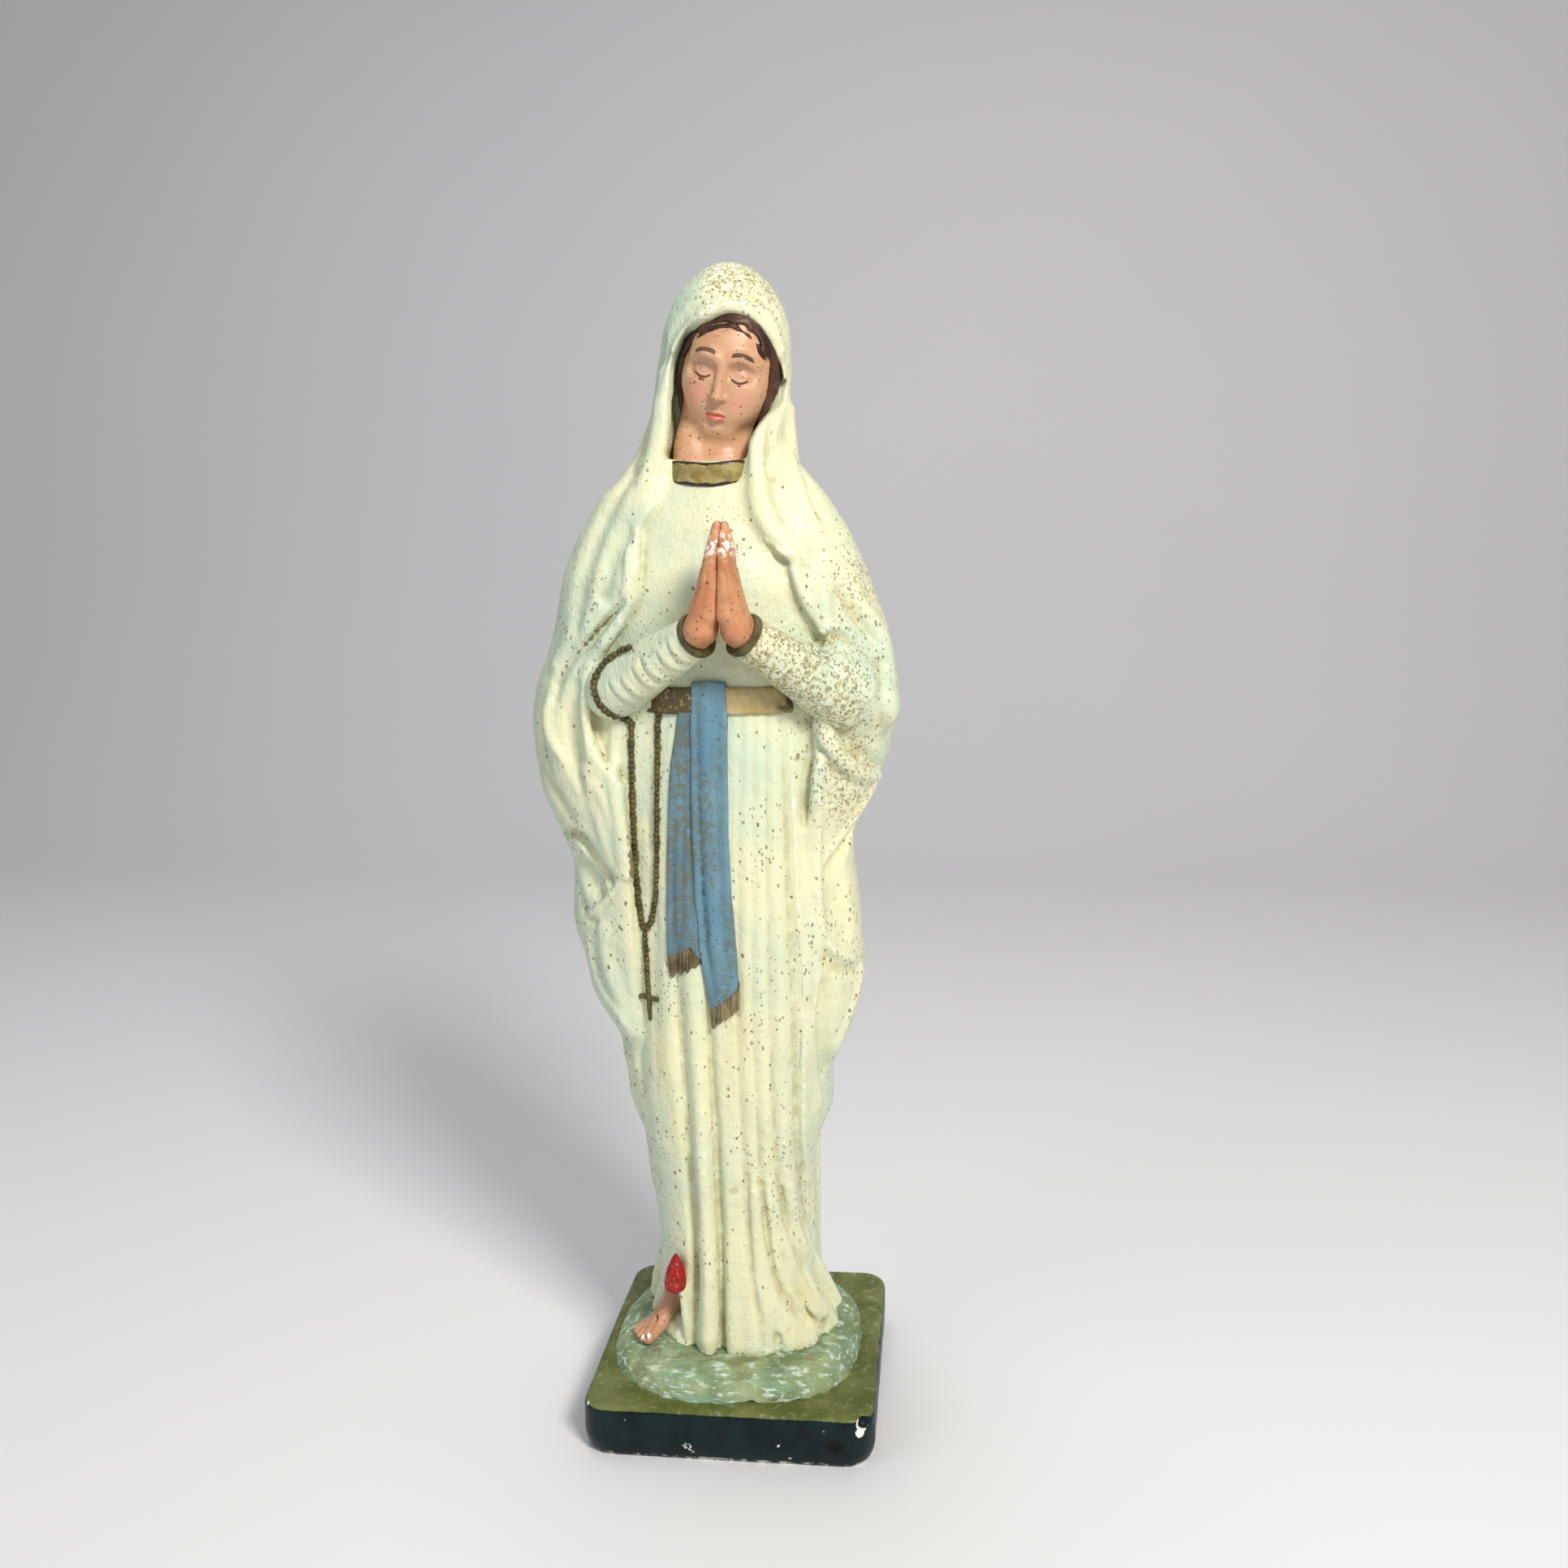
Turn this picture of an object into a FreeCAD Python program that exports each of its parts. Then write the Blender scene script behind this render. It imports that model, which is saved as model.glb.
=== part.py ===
"""Standing Madonna in cast and painted plaster: a veiled figure with joined hands on a square plinth.

The figure faces -Y and stands on Z = 0, with the origin at the middle of the plinth's underside.
Left and right are the figure's own, so its left is at +X. All sizes are in millimetres.

The figure is cast hollow and set on a solid plinth over an iron rod. Garments, hands, head and the
strips laid on them (belt, sash, collar, cuffs, rosary, rose) are separate pieces that meet face to face.
"""

import FreeCAD
import Part

import math
import os

from FreeCAD import Rotation, Vector

# ---------------------------------------------------------------- driving dimensions
HEIGHT = 600.0  # underside of the plinth to the top of the hood

PLINTH_SIDE = 152.0
PLINTH_HEIGHT = 28.0
PLINTH_CORNER = 15.0  # corner radius seen from above
PLINTH_DRAFT = 2.5  # how far each side draws in towards the underside
PLINTH_EDGE = 2.5  # rounding of the upper edge
MOUND_TOP = 40.0

BELT_MIDDLE = 388.0
BELT_HEIGHT = 11.0
BELT_THICKNESS = 2.0
SASH_THICKNESS = 3.2
TAIL_THICKNESS = 1.8  # the shorter tail, which lies under the longer one
BODICE_TOP = 498.0
HOOD_FOOT = 505.0  # where the hood is joined to the mantle
SEAM_Y = 0.0  # the mould seam between the front and the back of the mantle

HANDS_X = 6.5  # the plane in which the palms meet
HANDS_Y = -69.0
WRIST_Z = 421.0
FINGERTIP_Z = 474.0
SLEEVE_AT_WRIST = 10.0
SLEEVE_AT_ELBOW = 16.0
CUFF_LENGTH = 4.5
CUFF_PROUD = 1.4

HEAD_CENTRE = Vector(-0.5, 1.0, 555.0)
SKULL = Vector(24.0, 29.5, 33.0)  # half sizes
JAW = Vector(17.5, 21.0, 23.0)
JAW_CENTRE = Vector(-2.5, -7.0, 543.0)
CHIN_CENTRE = Vector(-5.5, -21.0, 525.5)
NOSE_ROOT = Vector(-0.5, -27.0, 556.0)
NOSE_TIP = Vector(-3.0, -29.5, 543.0)
NECK_RADIUS = 13.5
NECK_CENTRE = Vector(-4.0, -6.0, 0.0)
HAIR_THICKNESS = 1.6
HAIR_FOOT = 540.0
HEAD_ROLL = 9.0  # degrees, crown towards the figure's left
HEAD_NOD = 12.0  # degrees, face turned down

BEAD_RADIUS = 1.15
BEAD_GAP = 0.1
RELIEF = 0.15  # clearance between a bead and the cloth that it lies on
STRAND_Y = -43.5  # the plane in which the strands hang where the gown curves away behind them
LOOP_PLACE = 8.0  # how far along the forearm from the elbow the rosary hangs

SPINE_RADIUS = 3.0
SPINE_FOOT = 6.0
SPINE_TOP = 552.0
SPINE_X = -3.0
SPINE_Y = -1.0
TIE_RADIUS = 2.0
TIE_LENGTH = 118.0
PIN_RADIUS = 1.1

FRONT = -130.0  # beyond the figure on every side, for the tools that cut it
SIDE = 140.0
OUTLINE_POINTS = 36
STATION_STEP = 30.0  # largest height between the sections that a form is lofted through

# Stations of each form: height, right side (-X), left side (+X), front (-Y), back (+Y).
MOUND = [
    (PLINTH_HEIGHT, -70.5, 70.5, -70.0, 68.0),
    (35.0, -68.0, 68.0, -66.5, 65.5),
    (MOUND_TOP, -60.0, 60.0, -57.0, 58.0),
]
ROBE = [
    (MOUND_TOP, -47.0, 53.0, -41.0, 44.0),
    (56.0, -44.0, 48.0, -39.5, 41.0),
    (80.0, -44.5, 40.0, -38.5, 37.0),
    (112.0, -47.5, 38.5, -39.0, 37.0),
    (145.0, -49.5, 39.5, -41.0, 37.5),
    (200.0, -51.0, 42.5, -44.5, 39.0),
    (270.0, -51.0, 43.5, -47.5, 39.0),
    (340.0, -47.0, 42.0, -47.5, 37.0),
    (BELT_MIDDLE, -42.0, 38.0, -45.0, 34.0),
]
BODICE = [
    (BELT_MIDDLE, -42.0, 38.0, -45.0, 34.0),
    (415.0, -46.0, 44.0, -45.5, 36.0),
    (445.0, -48.0, 45.0, -43.0, 37.0),
    (470.0, -43.0, 38.0, -36.5, 34.0),
    (485.0, -33.0, 26.0, -29.0, 27.0),
    (BODICE_TOP, -22.0, 14.0, -20.0, 18.0),
]
CAVITY = [
    (MOUND_TOP, -30.0, 24.0, -26.0, 24.0),
    (150.0, -36.0, 26.0, -28.0, 24.0),
    (270.0, -37.0, 29.0, -33.0, 25.0),
    (380.0, -28.0, 24.0, -30.0, 20.0),
    (440.0, -30.0, 27.0, -28.0, 22.0),
    (472.0, -16.0, 11.0, -14.0, 14.0),
]
MANTLE = [
    (MOUND_TOP, -55.0, 50.0, -30.0, 52.0),
    (55.0, -49.5, 45.0, -30.0, 49.0),
    (75.0, -45.5, 39.5, -30.0, 46.5),
    (112.0, -46.5, 38.0, -32.0, 46.0),
    (142.0, -51.0, 41.0, -34.0, 46.5),
    (170.0, -60.0, 49.5, -37.0, 47.5),
    (195.0, -65.0, 53.0, -40.0, 48.5),
    (222.0, -75.5, 65.0, -42.0, 49.5),
    (255.0, -84.0, 67.5, -44.0, 50.5),
    (290.0, -86.0, 63.0, -45.0, 51.0),
    (318.0, -92.0, 63.5, -47.0, 51.5),
    (340.0, -101.0, 74.0, -48.0, 52.0),
    (376.0, -105.0, 86.0, -50.0, 52.0),
    (400.0, -100.0, 86.0, -50.0, 51.0),
    (425.0, -91.0, 79.0, -48.0, 50.0),
    (450.0, -85.0, 70.0, -44.0, 49.0),
    (475.0, -74.0, 58.0, -38.0, 46.0),
    (492.0, -59.0, 45.5, -33.0, 43.0),
    (HOOD_FOOT, -48.5, 33.0, -29.0, 40.0),
]
HOOD = [
    (HOOD_FOOT, -48.5, 33.0, -29.0, 40.0),
    (516.0, -43.0, 29.0, -29.0, 40.0),
    (532.0, -38.0, 30.0, -31.0, 41.0),
    (550.0, -34.0, 32.5, -33.0, 41.5),
    (566.0, -30.5, 32.5, -33.0, 39.5),
    (580.0, -25.5, 28.5, -28.0, 34.0),
    (590.0, -18.5, 23.5, -20.0, 26.0),
    (597.0, -10.0, 15.5, -11.0, 16.5),
    (HEIGHT, -2.0, 8.0, -3.0, 7.0),
]
COLLAR = [
    (491.0, -24.0, 14.5, -33.0, 10.0),
    (498.0, -23.8, 14.3, -31.0, 10.0),
    (504.5, -23.0, 13.5, -28.0, 10.0),
]

# The mantle's front opening seen from the front, as x and z, down each edge from the throat.
OPENING_RIGHT = [
    (-23, 512),
    (-38, 480),
    (-43, 440),
    (-56, 415),
    (-62, 392),
    (-57, 370),
    (-53, 300),
    (-51, 142),
]
OPENING_LEFT = [(14, 512), (24, 475), (38, 440), (50, 415), (56, 395), (51, 370), (44, 300), (42, 142)]

# The sash's two tails seen from the front, as x and z, and the fringe that ends each.
SASH_LONG = [(-11, 397), (6, 397), (7, 320), (8.5, 240), (-3, 232), (-9.5, 236), (-10.5, 310)]
FRINGE_LONG = [(-9.5, 236), (-3, 232), (8.5, 240), (9, 232), (1, 223), (-6.5, 222)]
SASH_SHORT = [(-18.5, 384), (-8, 384), (-8, 262), (-17, 259), (-27, 264), (-26, 320)]
FRINGE_SHORT = [(-27, 264), (-17, 259), (-8, 262), (-8, 256), (-17, 249.5), (-26.5, 252)]

# The rosary seen from the front, as x and z: two strands to a joint, a drop and the cross.
STRAND_OUTER = [(-43.0, 374.0), (-42.0, 335.0), (-40.5, 295.0), (-37.9, 277.5)]
STRAND_INNER = [(-31.0, 379.0), (-32.0, 335.0), (-32.5, 295.0), (-36.6, 277.5)]
ROSARY_DROP = [(-37.3, 274.0), (-37.5, 240.0)]
CROSS_CENTRE = (-37.6, 233.5)
CROSS_ARM = 4.0
CROSS_FOOT = 9.0
CROSS_BAR = 1.7


# ---------------------------------------------------------------- helpers
def outline(station, square=2.25, flutes=0, depth=0.0, grow=0.0, folded=-1):
    """Points of a smooth closed outline through a station's four sides.

    Flutes are upright folds, across the front where folded is -1 and across the back where it is 1.
    """
    height, right, left, front, back = station
    middle_x, middle_y = (right + left) / 2, (front + back) / 2
    half_x, half_y = (left - right) / 2 + grow, (back - front) / 2 + grow
    points = []
    for i in range(OUTLINE_POINTS):
        turn = 2 * math.pi * i / OUTLINE_POINTS
        across, along = math.cos(turn), math.sin(turn)
        fold = 1 - depth / half_y * max(0.0, folded * along) * (1 - math.cos(flutes * turn)) / 2
        points.append(
            Vector(
                middle_x + half_x * fold * math.copysign(abs(across) ** (2 / square), across),
                middle_y + half_y * fold * math.copysign(abs(along) ** (2 / square), along),
                height,
            )
        )
    return points


def closed_spline(points):
    """One smooth closed wire through points."""
    curve = Part.BSplineCurve()
    curve.interpolate(Points=points, PeriodicFlag=True)
    return Part.Wire(curve.toShape())


def evened(stations):
    """The same stations with more between them, so that no two neighbours are far apart."""
    result = [stations[0]]
    for low, high in zip(stations, stations[1:]):
        steps = max(1, math.ceil((high[0] - low[0]) / STATION_STEP))
        for i in range(1, steps + 1):
            result.append(tuple(a + (b - a) * i / steps for a, b in zip(low, high)))
    return result


def form(stations, **shape):
    """A solid through a list of stations, flat at both ends."""
    return Part.makeLoft([closed_spline(outline(s, **shape)) for s in evened(stations)], True, False)


def front_prism(points, near=FRONT, far=SEAM_Y):
    """A straight-sided prism along Y over an outline given as x and z."""
    corners = [Vector(x, near, z) for x, z in points]
    face = Part.Face(Part.makePolygon(corners + corners[:1]))
    return face.extrude(Vector(0, far - near, 0))


def ellipsoid(centre, half, roll=0.0, nod=0.0):
    """A rounded solid with half sizes along X, Y and Z, turned by roll and then nod about its centre."""
    rings = []
    for level in range(-80, 81, 20):
        width = math.cos(math.radians(level))
        sides = (-half.x * width, half.x * width, -half.y * width, half.y * width)
        rings.append((half.z * math.sin(math.radians(level)), *sides))
    solid = form(rings, square=2.0)
    solid.rotate(Vector(), Vector(0, 1, 0), roll)
    solid.rotate(Vector(), Vector(1, 0, 0), nod)
    solid.translate(centre)
    return solid


def bar(start, end, radius, end_radius=None):
    """A round bar or cone between two points."""
    way = end.sub(start)
    if end_radius is None or abs(end_radius - radius) < 1e-6:
        return Part.makeCylinder(radius, way.Length, start, way)
    return Part.makeCone(radius, end_radius, way.Length, start, way)


def largest(shape):
    """The largest solid of a shape, without the slivers that a cut can leave."""
    return max(shape.Solids, key=lambda solid: solid.Volume)


def cut(shape, *tools):
    """shape less each tool, one after another."""
    for tool in tools:
        shape = shape.cut(tool)
    return shape


def along(points, spacing):
    """Points evenly spaced along a run of straight stretches."""
    placed, left_over = [], 0.0
    for start, end in zip(points, points[1:]):
        way = end.sub(start)
        reached = left_over
        while reached <= way.Length:
            placed.append(start + way * (reached / way.Length))
            reached += spacing
        left_over = reached - way.Length
    return placed


# ---------------------------------------------------------------- base
def rounded_square(side, height):
    """A square wire with rounded corners."""
    plate = Part.makeBox(side, side, 1.0, Vector(-side / 2, -side / 2, height))
    upright = [e for e in plate.Edges if abs(e.Vertexes[0].Z - e.Vertexes[1].Z) > 0.5]
    plate = plate.makeFillet(PLINTH_CORNER, upright)
    lowest = min(plate.Faces, key=lambda face: face.CenterOfMass.z)
    return lowest.OuterWire


def make_plinth():
    """The square slab, drawn in towards its flat underside and softened along its upper edge."""
    foot = rounded_square(PLINTH_SIDE - 2 * PLINTH_DRAFT, 0.0)
    top = rounded_square(PLINTH_SIDE, PLINTH_HEIGHT)
    slab = Part.makeLoft([foot, top], True, True)
    upper = [e for e in slab.Edges if e.BoundBox.ZMin > PLINTH_HEIGHT - 0.1]
    return slab.makeFillet(PLINTH_EDGE, upper)


def make_mound():
    """The low rocky ground under the figure."""
    return form(MOUND, square=2.5)


# ---------------------------------------------------------------- garments
def body_form(grow=0.0):
    """The gowned body from the ground to the throat, with upright folds across its front."""
    return form(ROBE + BODICE[1:], flutes=8, depth=1.8, grow=grow)


def front_opening():
    """The space between the mantle's front edges. Below the knees it takes in the whole front."""
    lowest = min(OPENING_RIGHT[-1][1], OPENING_LEFT[-1][1])
    skirt = [(-SIDE, lowest), (-SIDE, 0), (SIDE, 0), (SIDE, lowest)]
    return front_prism(OPENING_RIGHT + skirt + OPENING_LEFT[::-1])


def make_mantle(body, sleeves):
    """The mantle in three castings: the back, and a front wing at each side of the opening."""
    whole = form(MANTLE, flutes=9, depth=3.0, folded=1)
    front_half = Part.makeBox(2 * SIDE, SEAM_Y - FRONT, HEIGHT, Vector(-SIDE, FRONT, 0))
    back = largest(cut(whole, front_half, body))
    wings = cut(whole.common(front_half), front_opening(), body, *sleeves)
    wings = sorted(wings.Solids, key=lambda solid: -solid.Volume)[:2]
    right, left = sorted(wings, key=lambda solid: solid.CenterOfMass.x)
    return back, left, right


def make_hood(hair_form):
    """The hood over head and hair, with an oval opening round the face and a clear space round the neck."""
    window = ellipsoid(Vector(-2.0, 0.0, 545.0), Vector(25.0, 70.0, 33.5), HEAD_ROLL)
    window = window.common(Part.makeBox(2 * SIDE, -FRONT - 6.0, HEIGHT, Vector(-SIDE, FRONT, 0)))
    throat = Part.makeBox(38.0, 60.0, 42.0, Vector(-22.0, -46.0, HOOD_FOOT - 5))
    return largest(cut(form(HOOD), hair_form, window, throat))


# ---------------------------------------------------------------- head
def head_forms():
    """The simple forms of head and neck: skull, jaw, chin, nose and a neck down into the bodice."""
    skull = ellipsoid(HEAD_CENTRE, SKULL, HEAD_ROLL, HEAD_NOD)
    jaw = ellipsoid(JAW_CENTRE, JAW, HEAD_ROLL, HEAD_NOD)
    chin = ellipsoid(CHIN_CENTRE, Vector(6.0, 6.0, 5.5), HEAD_ROLL, HEAD_NOD)
    nose = bar(NOSE_ROOT, NOSE_TIP, 1.8, 3.4).fuse(Part.makeSphere(3.4, NOSE_TIP))
    neck_foot = NECK_CENTRE + Vector(0, 2, BODICE_TOP - 10)
    neck_top = NECK_CENTRE + Vector(1, 0, JAW_CENTRE.z)
    return [skull, jaw, chin, nose, bar(neck_foot, neck_top, NECK_RADIUS)]


def make_hair(skull, hair_form):
    """The rim of hair that shows between the face and the hood."""
    face = ellipsoid(Vector(-1.5, -30.0, 545.0), Vector(21.0, 40.0, 29.0), HEAD_ROLL)
    nape = Part.makeBox(2 * SIDE, 2 * SIDE, HAIR_FOOT, Vector(-SIDE, -SIDE, 0))
    return largest(cut(hair_form, skull, face, nape))


def make_collar(head_parts):
    """The flat band round the throat."""
    return largest(cut(form(COLLAR, square=2.4), *head_parts))


# ---------------------------------------------------------------- arms and hands
def wrist(side):
    """Where a forearm ends. side is -1 for the figure's right and 1 for its left."""
    return Vector(HANDS_X + side * 15.5, HANDS_Y + 5.0, WRIST_Z - 1.0)


def elbow(side):
    """Where a forearm comes out of the mantle."""
    return Vector(-50.0, -38.0, 395.0) if side < 0 else Vector(55.0, -34.0, 390.0)


def sleeve_form(side):
    """A forearm in its sleeve, rounded at the elbow."""
    start, end = elbow(side), wrist(side)
    cone = bar(start, end, SLEEVE_AT_ELBOW, SLEEVE_AT_WRIST)
    return cone.fuse(Part.makeSphere(SLEEVE_AT_ELBOW, start)).removeSplitter()


def cuff_form(side):
    """The band that ends a sleeve."""
    way = wrist(side).sub(elbow(side)).normalize()
    return Part.makeCylinder(SLEEVE_AT_WRIST + CUFF_PROUD, CUFF_LENGTH, wrist(side), way)


def hand_form(side):
    """One hand, flat against the other at the palm and narrowing to the fingertips."""
    stations = [
        (WRIST_Z - 8.0, 9.0, -78.0, -62.0),
        (WRIST_Z + 1.0, 14.5, -82.0, -60.0),
        (WRIST_Z + 14.0, 10.5, -83.0, -63.0),
        (WRIST_Z + 34.0, 8.0, -82.0, -67.0),
        (WRIST_Z + 47.0, 5.5, -80.0, -70.0),
        (FINGERTIP_Z, 2.5, -77.5, -73.0),
    ]
    sections = []
    for height, width, front, back in stations:
        sides = (HANDS_X - width, HANDS_X + width)
        sections.append((height, *sides, front, back))
    pair = form(sections, square=2.1)
    reach = 3 * SLEEVE_AT_WRIST
    start = HANDS_X - reach if side < 0 else HANDS_X
    return pair.common(Part.makeBox(reach, 2 * SIDE, HEIGHT, Vector(start, -SIDE, 0)))


def wrist_pin(side):
    """The wire that holds a hand to its sleeve."""
    way = wrist(side).sub(elbow(side)).normalize()
    return bar(wrist(side) - way * 22.0, wrist(side) + way * (CUFF_LENGTH + 5.0), PIN_RADIUS)


# ---------------------------------------------------------------- belt, sash and rosary
def laid_on(skin, points, *under):
    """The part of a skin over the gown within an outline given as x and z, less what it covers."""
    return largest(cut(front_prism(points, far=-20.0).common(skin), *under))


def make_belt(*under):
    """The waistband across the front, which shows between the sleeves and passes under the sash."""
    low, high = BELT_MIDDLE - BELT_HEIGHT / 2, BELT_MIDDLE + BELT_HEIGHT / 2
    band = [(-41, low), (37, low), (37, high), (-41, high)]
    return laid_on(body_form(BELT_THICKNESS), band, *under)


def robe_front(x, z):
    """The robe's front at x and z, without its folds."""
    above = next(i for i, s in enumerate(ROBE) if s[0] >= z)
    low, high = ROBE[above - 1], ROBE[above]
    share = (z - low[0]) / (high[0] - low[0])
    right, left, front, back = (a + (b - a) * share for a, b in zip(low[1:], high[1:]))
    across = abs(x - (right + left) / 2) / ((left - right) / 2)
    return (front + back) / 2 - (back - front) / 2 * (1 - across**2.25) ** (1 / 2.25)


def on_robe(points, proud):
    """Points at the given x and z in one plane, or proud of the gown where it comes further out."""
    return [Vector(x, min(STRAND_Y, robe_front(x, z) - proud - RELIEF), z) for x, z in points]


def beads(points):
    """A row of round beads along a run of points."""
    spacing = 2 * BEAD_RADIUS + BEAD_GAP
    return [Part.makeSphere(BEAD_RADIUS, p) for p in along(points, spacing)]


def make_rosary():
    """The two hanging strands and the drop below them, bead by bead."""
    strands = []
    for route in (STRAND_OUTER, STRAND_INNER, ROSARY_DROP):
        strands += beads(on_robe(route, BEAD_RADIUS))
    return Part.Compound(strands)


def make_arm_loop():
    """The stretch of the rosary that hangs round the right forearm at the elbow."""
    way = wrist(-1).sub(elbow(-1)).normalize()
    start = elbow(-1) + way * LOOP_PLACE
    reach = SLEEVE_AT_ELBOW + BEAD_RADIUS + RELIEF
    turn = Rotation(Vector(0, 0, 1), way)
    ring = []
    for i in range(13):
        angle = math.radians(150 + 12 * i)
        around = turn.multVec(Vector(reach * math.cos(angle), reach * math.sin(angle), 0))
        ring.append(start + around)
    return Part.Compound(beads(ring))


def make_cross(robe):
    """The small cross at the end of the rosary."""
    x, z = CROSS_CENTRE
    y = min(STRAND_Y, robe_front(x, z) - RELIEF) - CROSS_BAR / 2
    height = CROSS_ARM + CROSS_FOOT
    upright = Part.makeBox(CROSS_BAR, CROSS_BAR, height, Vector(x - CROSS_BAR / 2, y, z - CROSS_FOOT))
    beam = Part.makeBox(2 * CROSS_ARM, CROSS_BAR, CROSS_BAR, Vector(x - CROSS_ARM, y, z - CROSS_BAR / 2))
    return largest(upright.fuse(beam).cut(robe))


# ---------------------------------------------------------------- foot and rose
def make_foot(*around):
    """The right foot, which shows in front of the hem: instep, great toe and small toes."""
    instep = ellipsoid(Vector(-42.0, -8.0, 51.0), Vector(8.5, 25.0, 12.0), 0.0, 12.0)
    great_toe = ellipsoid(Vector(-44.5, -32.0, 44.5), Vector(4.2, 8.0, 4.0))
    small_toes = ellipsoid(Vector(-50.0, -28.0, 43.5), Vector(4.5, 8.5, 3.2))
    whole = instep.fuse([great_toe, small_toes])
    whole.rotate(Vector(-42, -8, 51), Vector(0, 0, 1), -12)
    return largest(cut(whole, *around))


def make_rose(robe, foot):
    """The rose on the right foot, a bud of overlapping petals."""
    centre = Vector(-30.5, -34.0, 85.0)
    petals = [ellipsoid(centre, Vector(5.2, 7.0, 11.0), 6.0)]
    for turn in range(5):
        angle = math.radians(72 * turn)
        place = centre + Vector(3.0 * math.cos(angle), -3.5, 5.5 * math.sin(angle) - 2.0)
        petals.append(ellipsoid(place, Vector(2.8, 3.2, 3.8)))
    return largest(cut(petals[0].fuse(petals[1:]), robe, foot))


# ---------------------------------------------------------------- iron inside the casting
def make_spine():
    """The upright rod from the plinth into the head."""
    return bar(Vector(SPINE_X, SPINE_Y, SPINE_FOOT), Vector(SPINE_X, SPINE_Y, SPINE_TOP), SPINE_RADIUS)


def make_ties():
    """Two level rods that cross in the plinth, one each side of the spine's foot."""
    rods = []
    for level, turn in ((10.0, 0.0), (15.0, -90.0)):
        rod = bar(Vector(-TIE_LENGTH / 2, 0, level), Vector(TIE_LENGTH / 2, 0, level), TIE_RADIUS)
        rod.translate(Vector(0, SPINE_RADIUS + TIE_RADIUS + 1.0, 0))
        rod.rotate(Vector(0, 0, level), Vector(0, 0, 1), turn)
        rods.append(rod)
    return Part.Compound(rods)


def build():
    """Every piece of the statue by its name."""
    spine, ties = make_spine(), make_ties()
    pins = {side: wrist_pin(side) for side in (-1, 1)}
    cavity = form(CAVITY)
    body = body_form()
    gown = body.cut(cavity)
    below_waist = Part.makeBox(2 * SIDE, 2 * SIDE, BELT_MIDDLE, Vector(-SIDE, -SIDE, 0))
    head_parts = head_forms()
    head = head_parts[0].fuse(head_parts[1:]).removeSplitter()
    hair_size = SKULL + Vector(HAIR_THICKNESS, HAIR_THICKNESS, HAIR_THICKNESS)
    hair_form = ellipsoid(HEAD_CENTRE, hair_size, HEAD_ROLL, HEAD_NOD)
    collar = make_collar(head_parts)
    sleeves = {side: sleeve_form(side) for side in (-1, 1)}
    hands = {side: hand_form(side) for side in (-1, 1)}
    back, left, right = make_mantle(body, sleeves.values())
    mound = make_mound()
    foot = make_foot(body, back, mound)

    pieces = {
        "plinth": cut(make_plinth(), spine, *ties.Solids),
        "ground_mound": cut(mound, spine),
        "robe_skirt": largest(gown.common(below_waist)),
        "bodice": largest(cut(gown, below_waist, *head_parts, collar, spine)),
        "mantle_back": largest(cut(back, *head_parts, collar, spine)),
        "mantle_left": largest(cut(left, collar)),
        "mantle_right": largest(cut(right, collar)),
        "hood": make_hood(hair_form),
        "head": head.cut(spine),
        "hair": make_hair(head_parts[0], hair_form),
        "collar_band": collar,
        "foot_right": foot,
        "rose": make_rose(body, foot),
        "spine_rod": spine,
        "plinth_tie_rods": ties,
        "rosary_strands": make_rosary(),
        "rosary_arm_loop": make_arm_loop(),
        "rosary_cross": make_cross(body),
    }

    under = (body, *sleeves.values())
    belt = make_belt(*under)
    upper, lower = body_form(SASH_THICKNESS), body_form(TAIL_THICKNESS)
    sash = laid_on(upper, SASH_LONG, belt, *under)
    fringe = laid_on(upper, FRINGE_LONG, sash, *under)
    short = laid_on(lower, SASH_SHORT, sash, belt, *under)
    short_fringe = laid_on(lower, FRINGE_SHORT, short, sash, fringe, *under)
    pieces["belt"] = belt
    pieces["sash_long_tail"] = sash
    pieces["sash_long_fringe"] = fringe
    pieces["sash_short_tail"] = short
    pieces["sash_short_fringe"] = short_fringe

    for side, name in ((-1, "right"), (1, "left")):
        cuff = cuff_form(side)
        hand = largest(cut(hands[side], sleeves[side], cuff, pins[side]))
        sleeve = largest(cut(sleeves[side], body, pins[side]))
        pieces[f"hand_{name}"] = hand
        pieces[f"cuff_{name}"] = largest(cut(cuff, pins[side], sleeves[-side]))
        pieces[f"sleeve_{name}"] = sleeve
        pieces[f"wrist_pin_{name}"] = pins[side]
    return pieces


def main():
    os.makedirs("parts", exist_ok=True)
    for name, shape in build().items():
        solids = shape.Solids
        valid = shape.isValid() and all(s.isClosed() for s in solids)
        print(f"{name:18s} solids {len(solids):3d}  volume {shape.Volume / 1000:9.2f} cm3  valid {valid}")
        kept = solids[0] if len(solids) == 1 else Part.Compound(solids)
        kept.exportStep(f"parts/{name}.step")


main()
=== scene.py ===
"""The painted plaster Madonna, sculpted piece by piece over its CAD frame and lit in a plain studio.

Each piece is modelled as clay on a grid: a signed distance in millimetres, negative inside, that strokes
add to or carve from. It is then meshed and placed in metres. The figure faces -Y and stands on Z = 0.
"""

import math

import bpy
import numpy as np
import openvdb as vdb
from mathutils import Matrix, Vector


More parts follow.
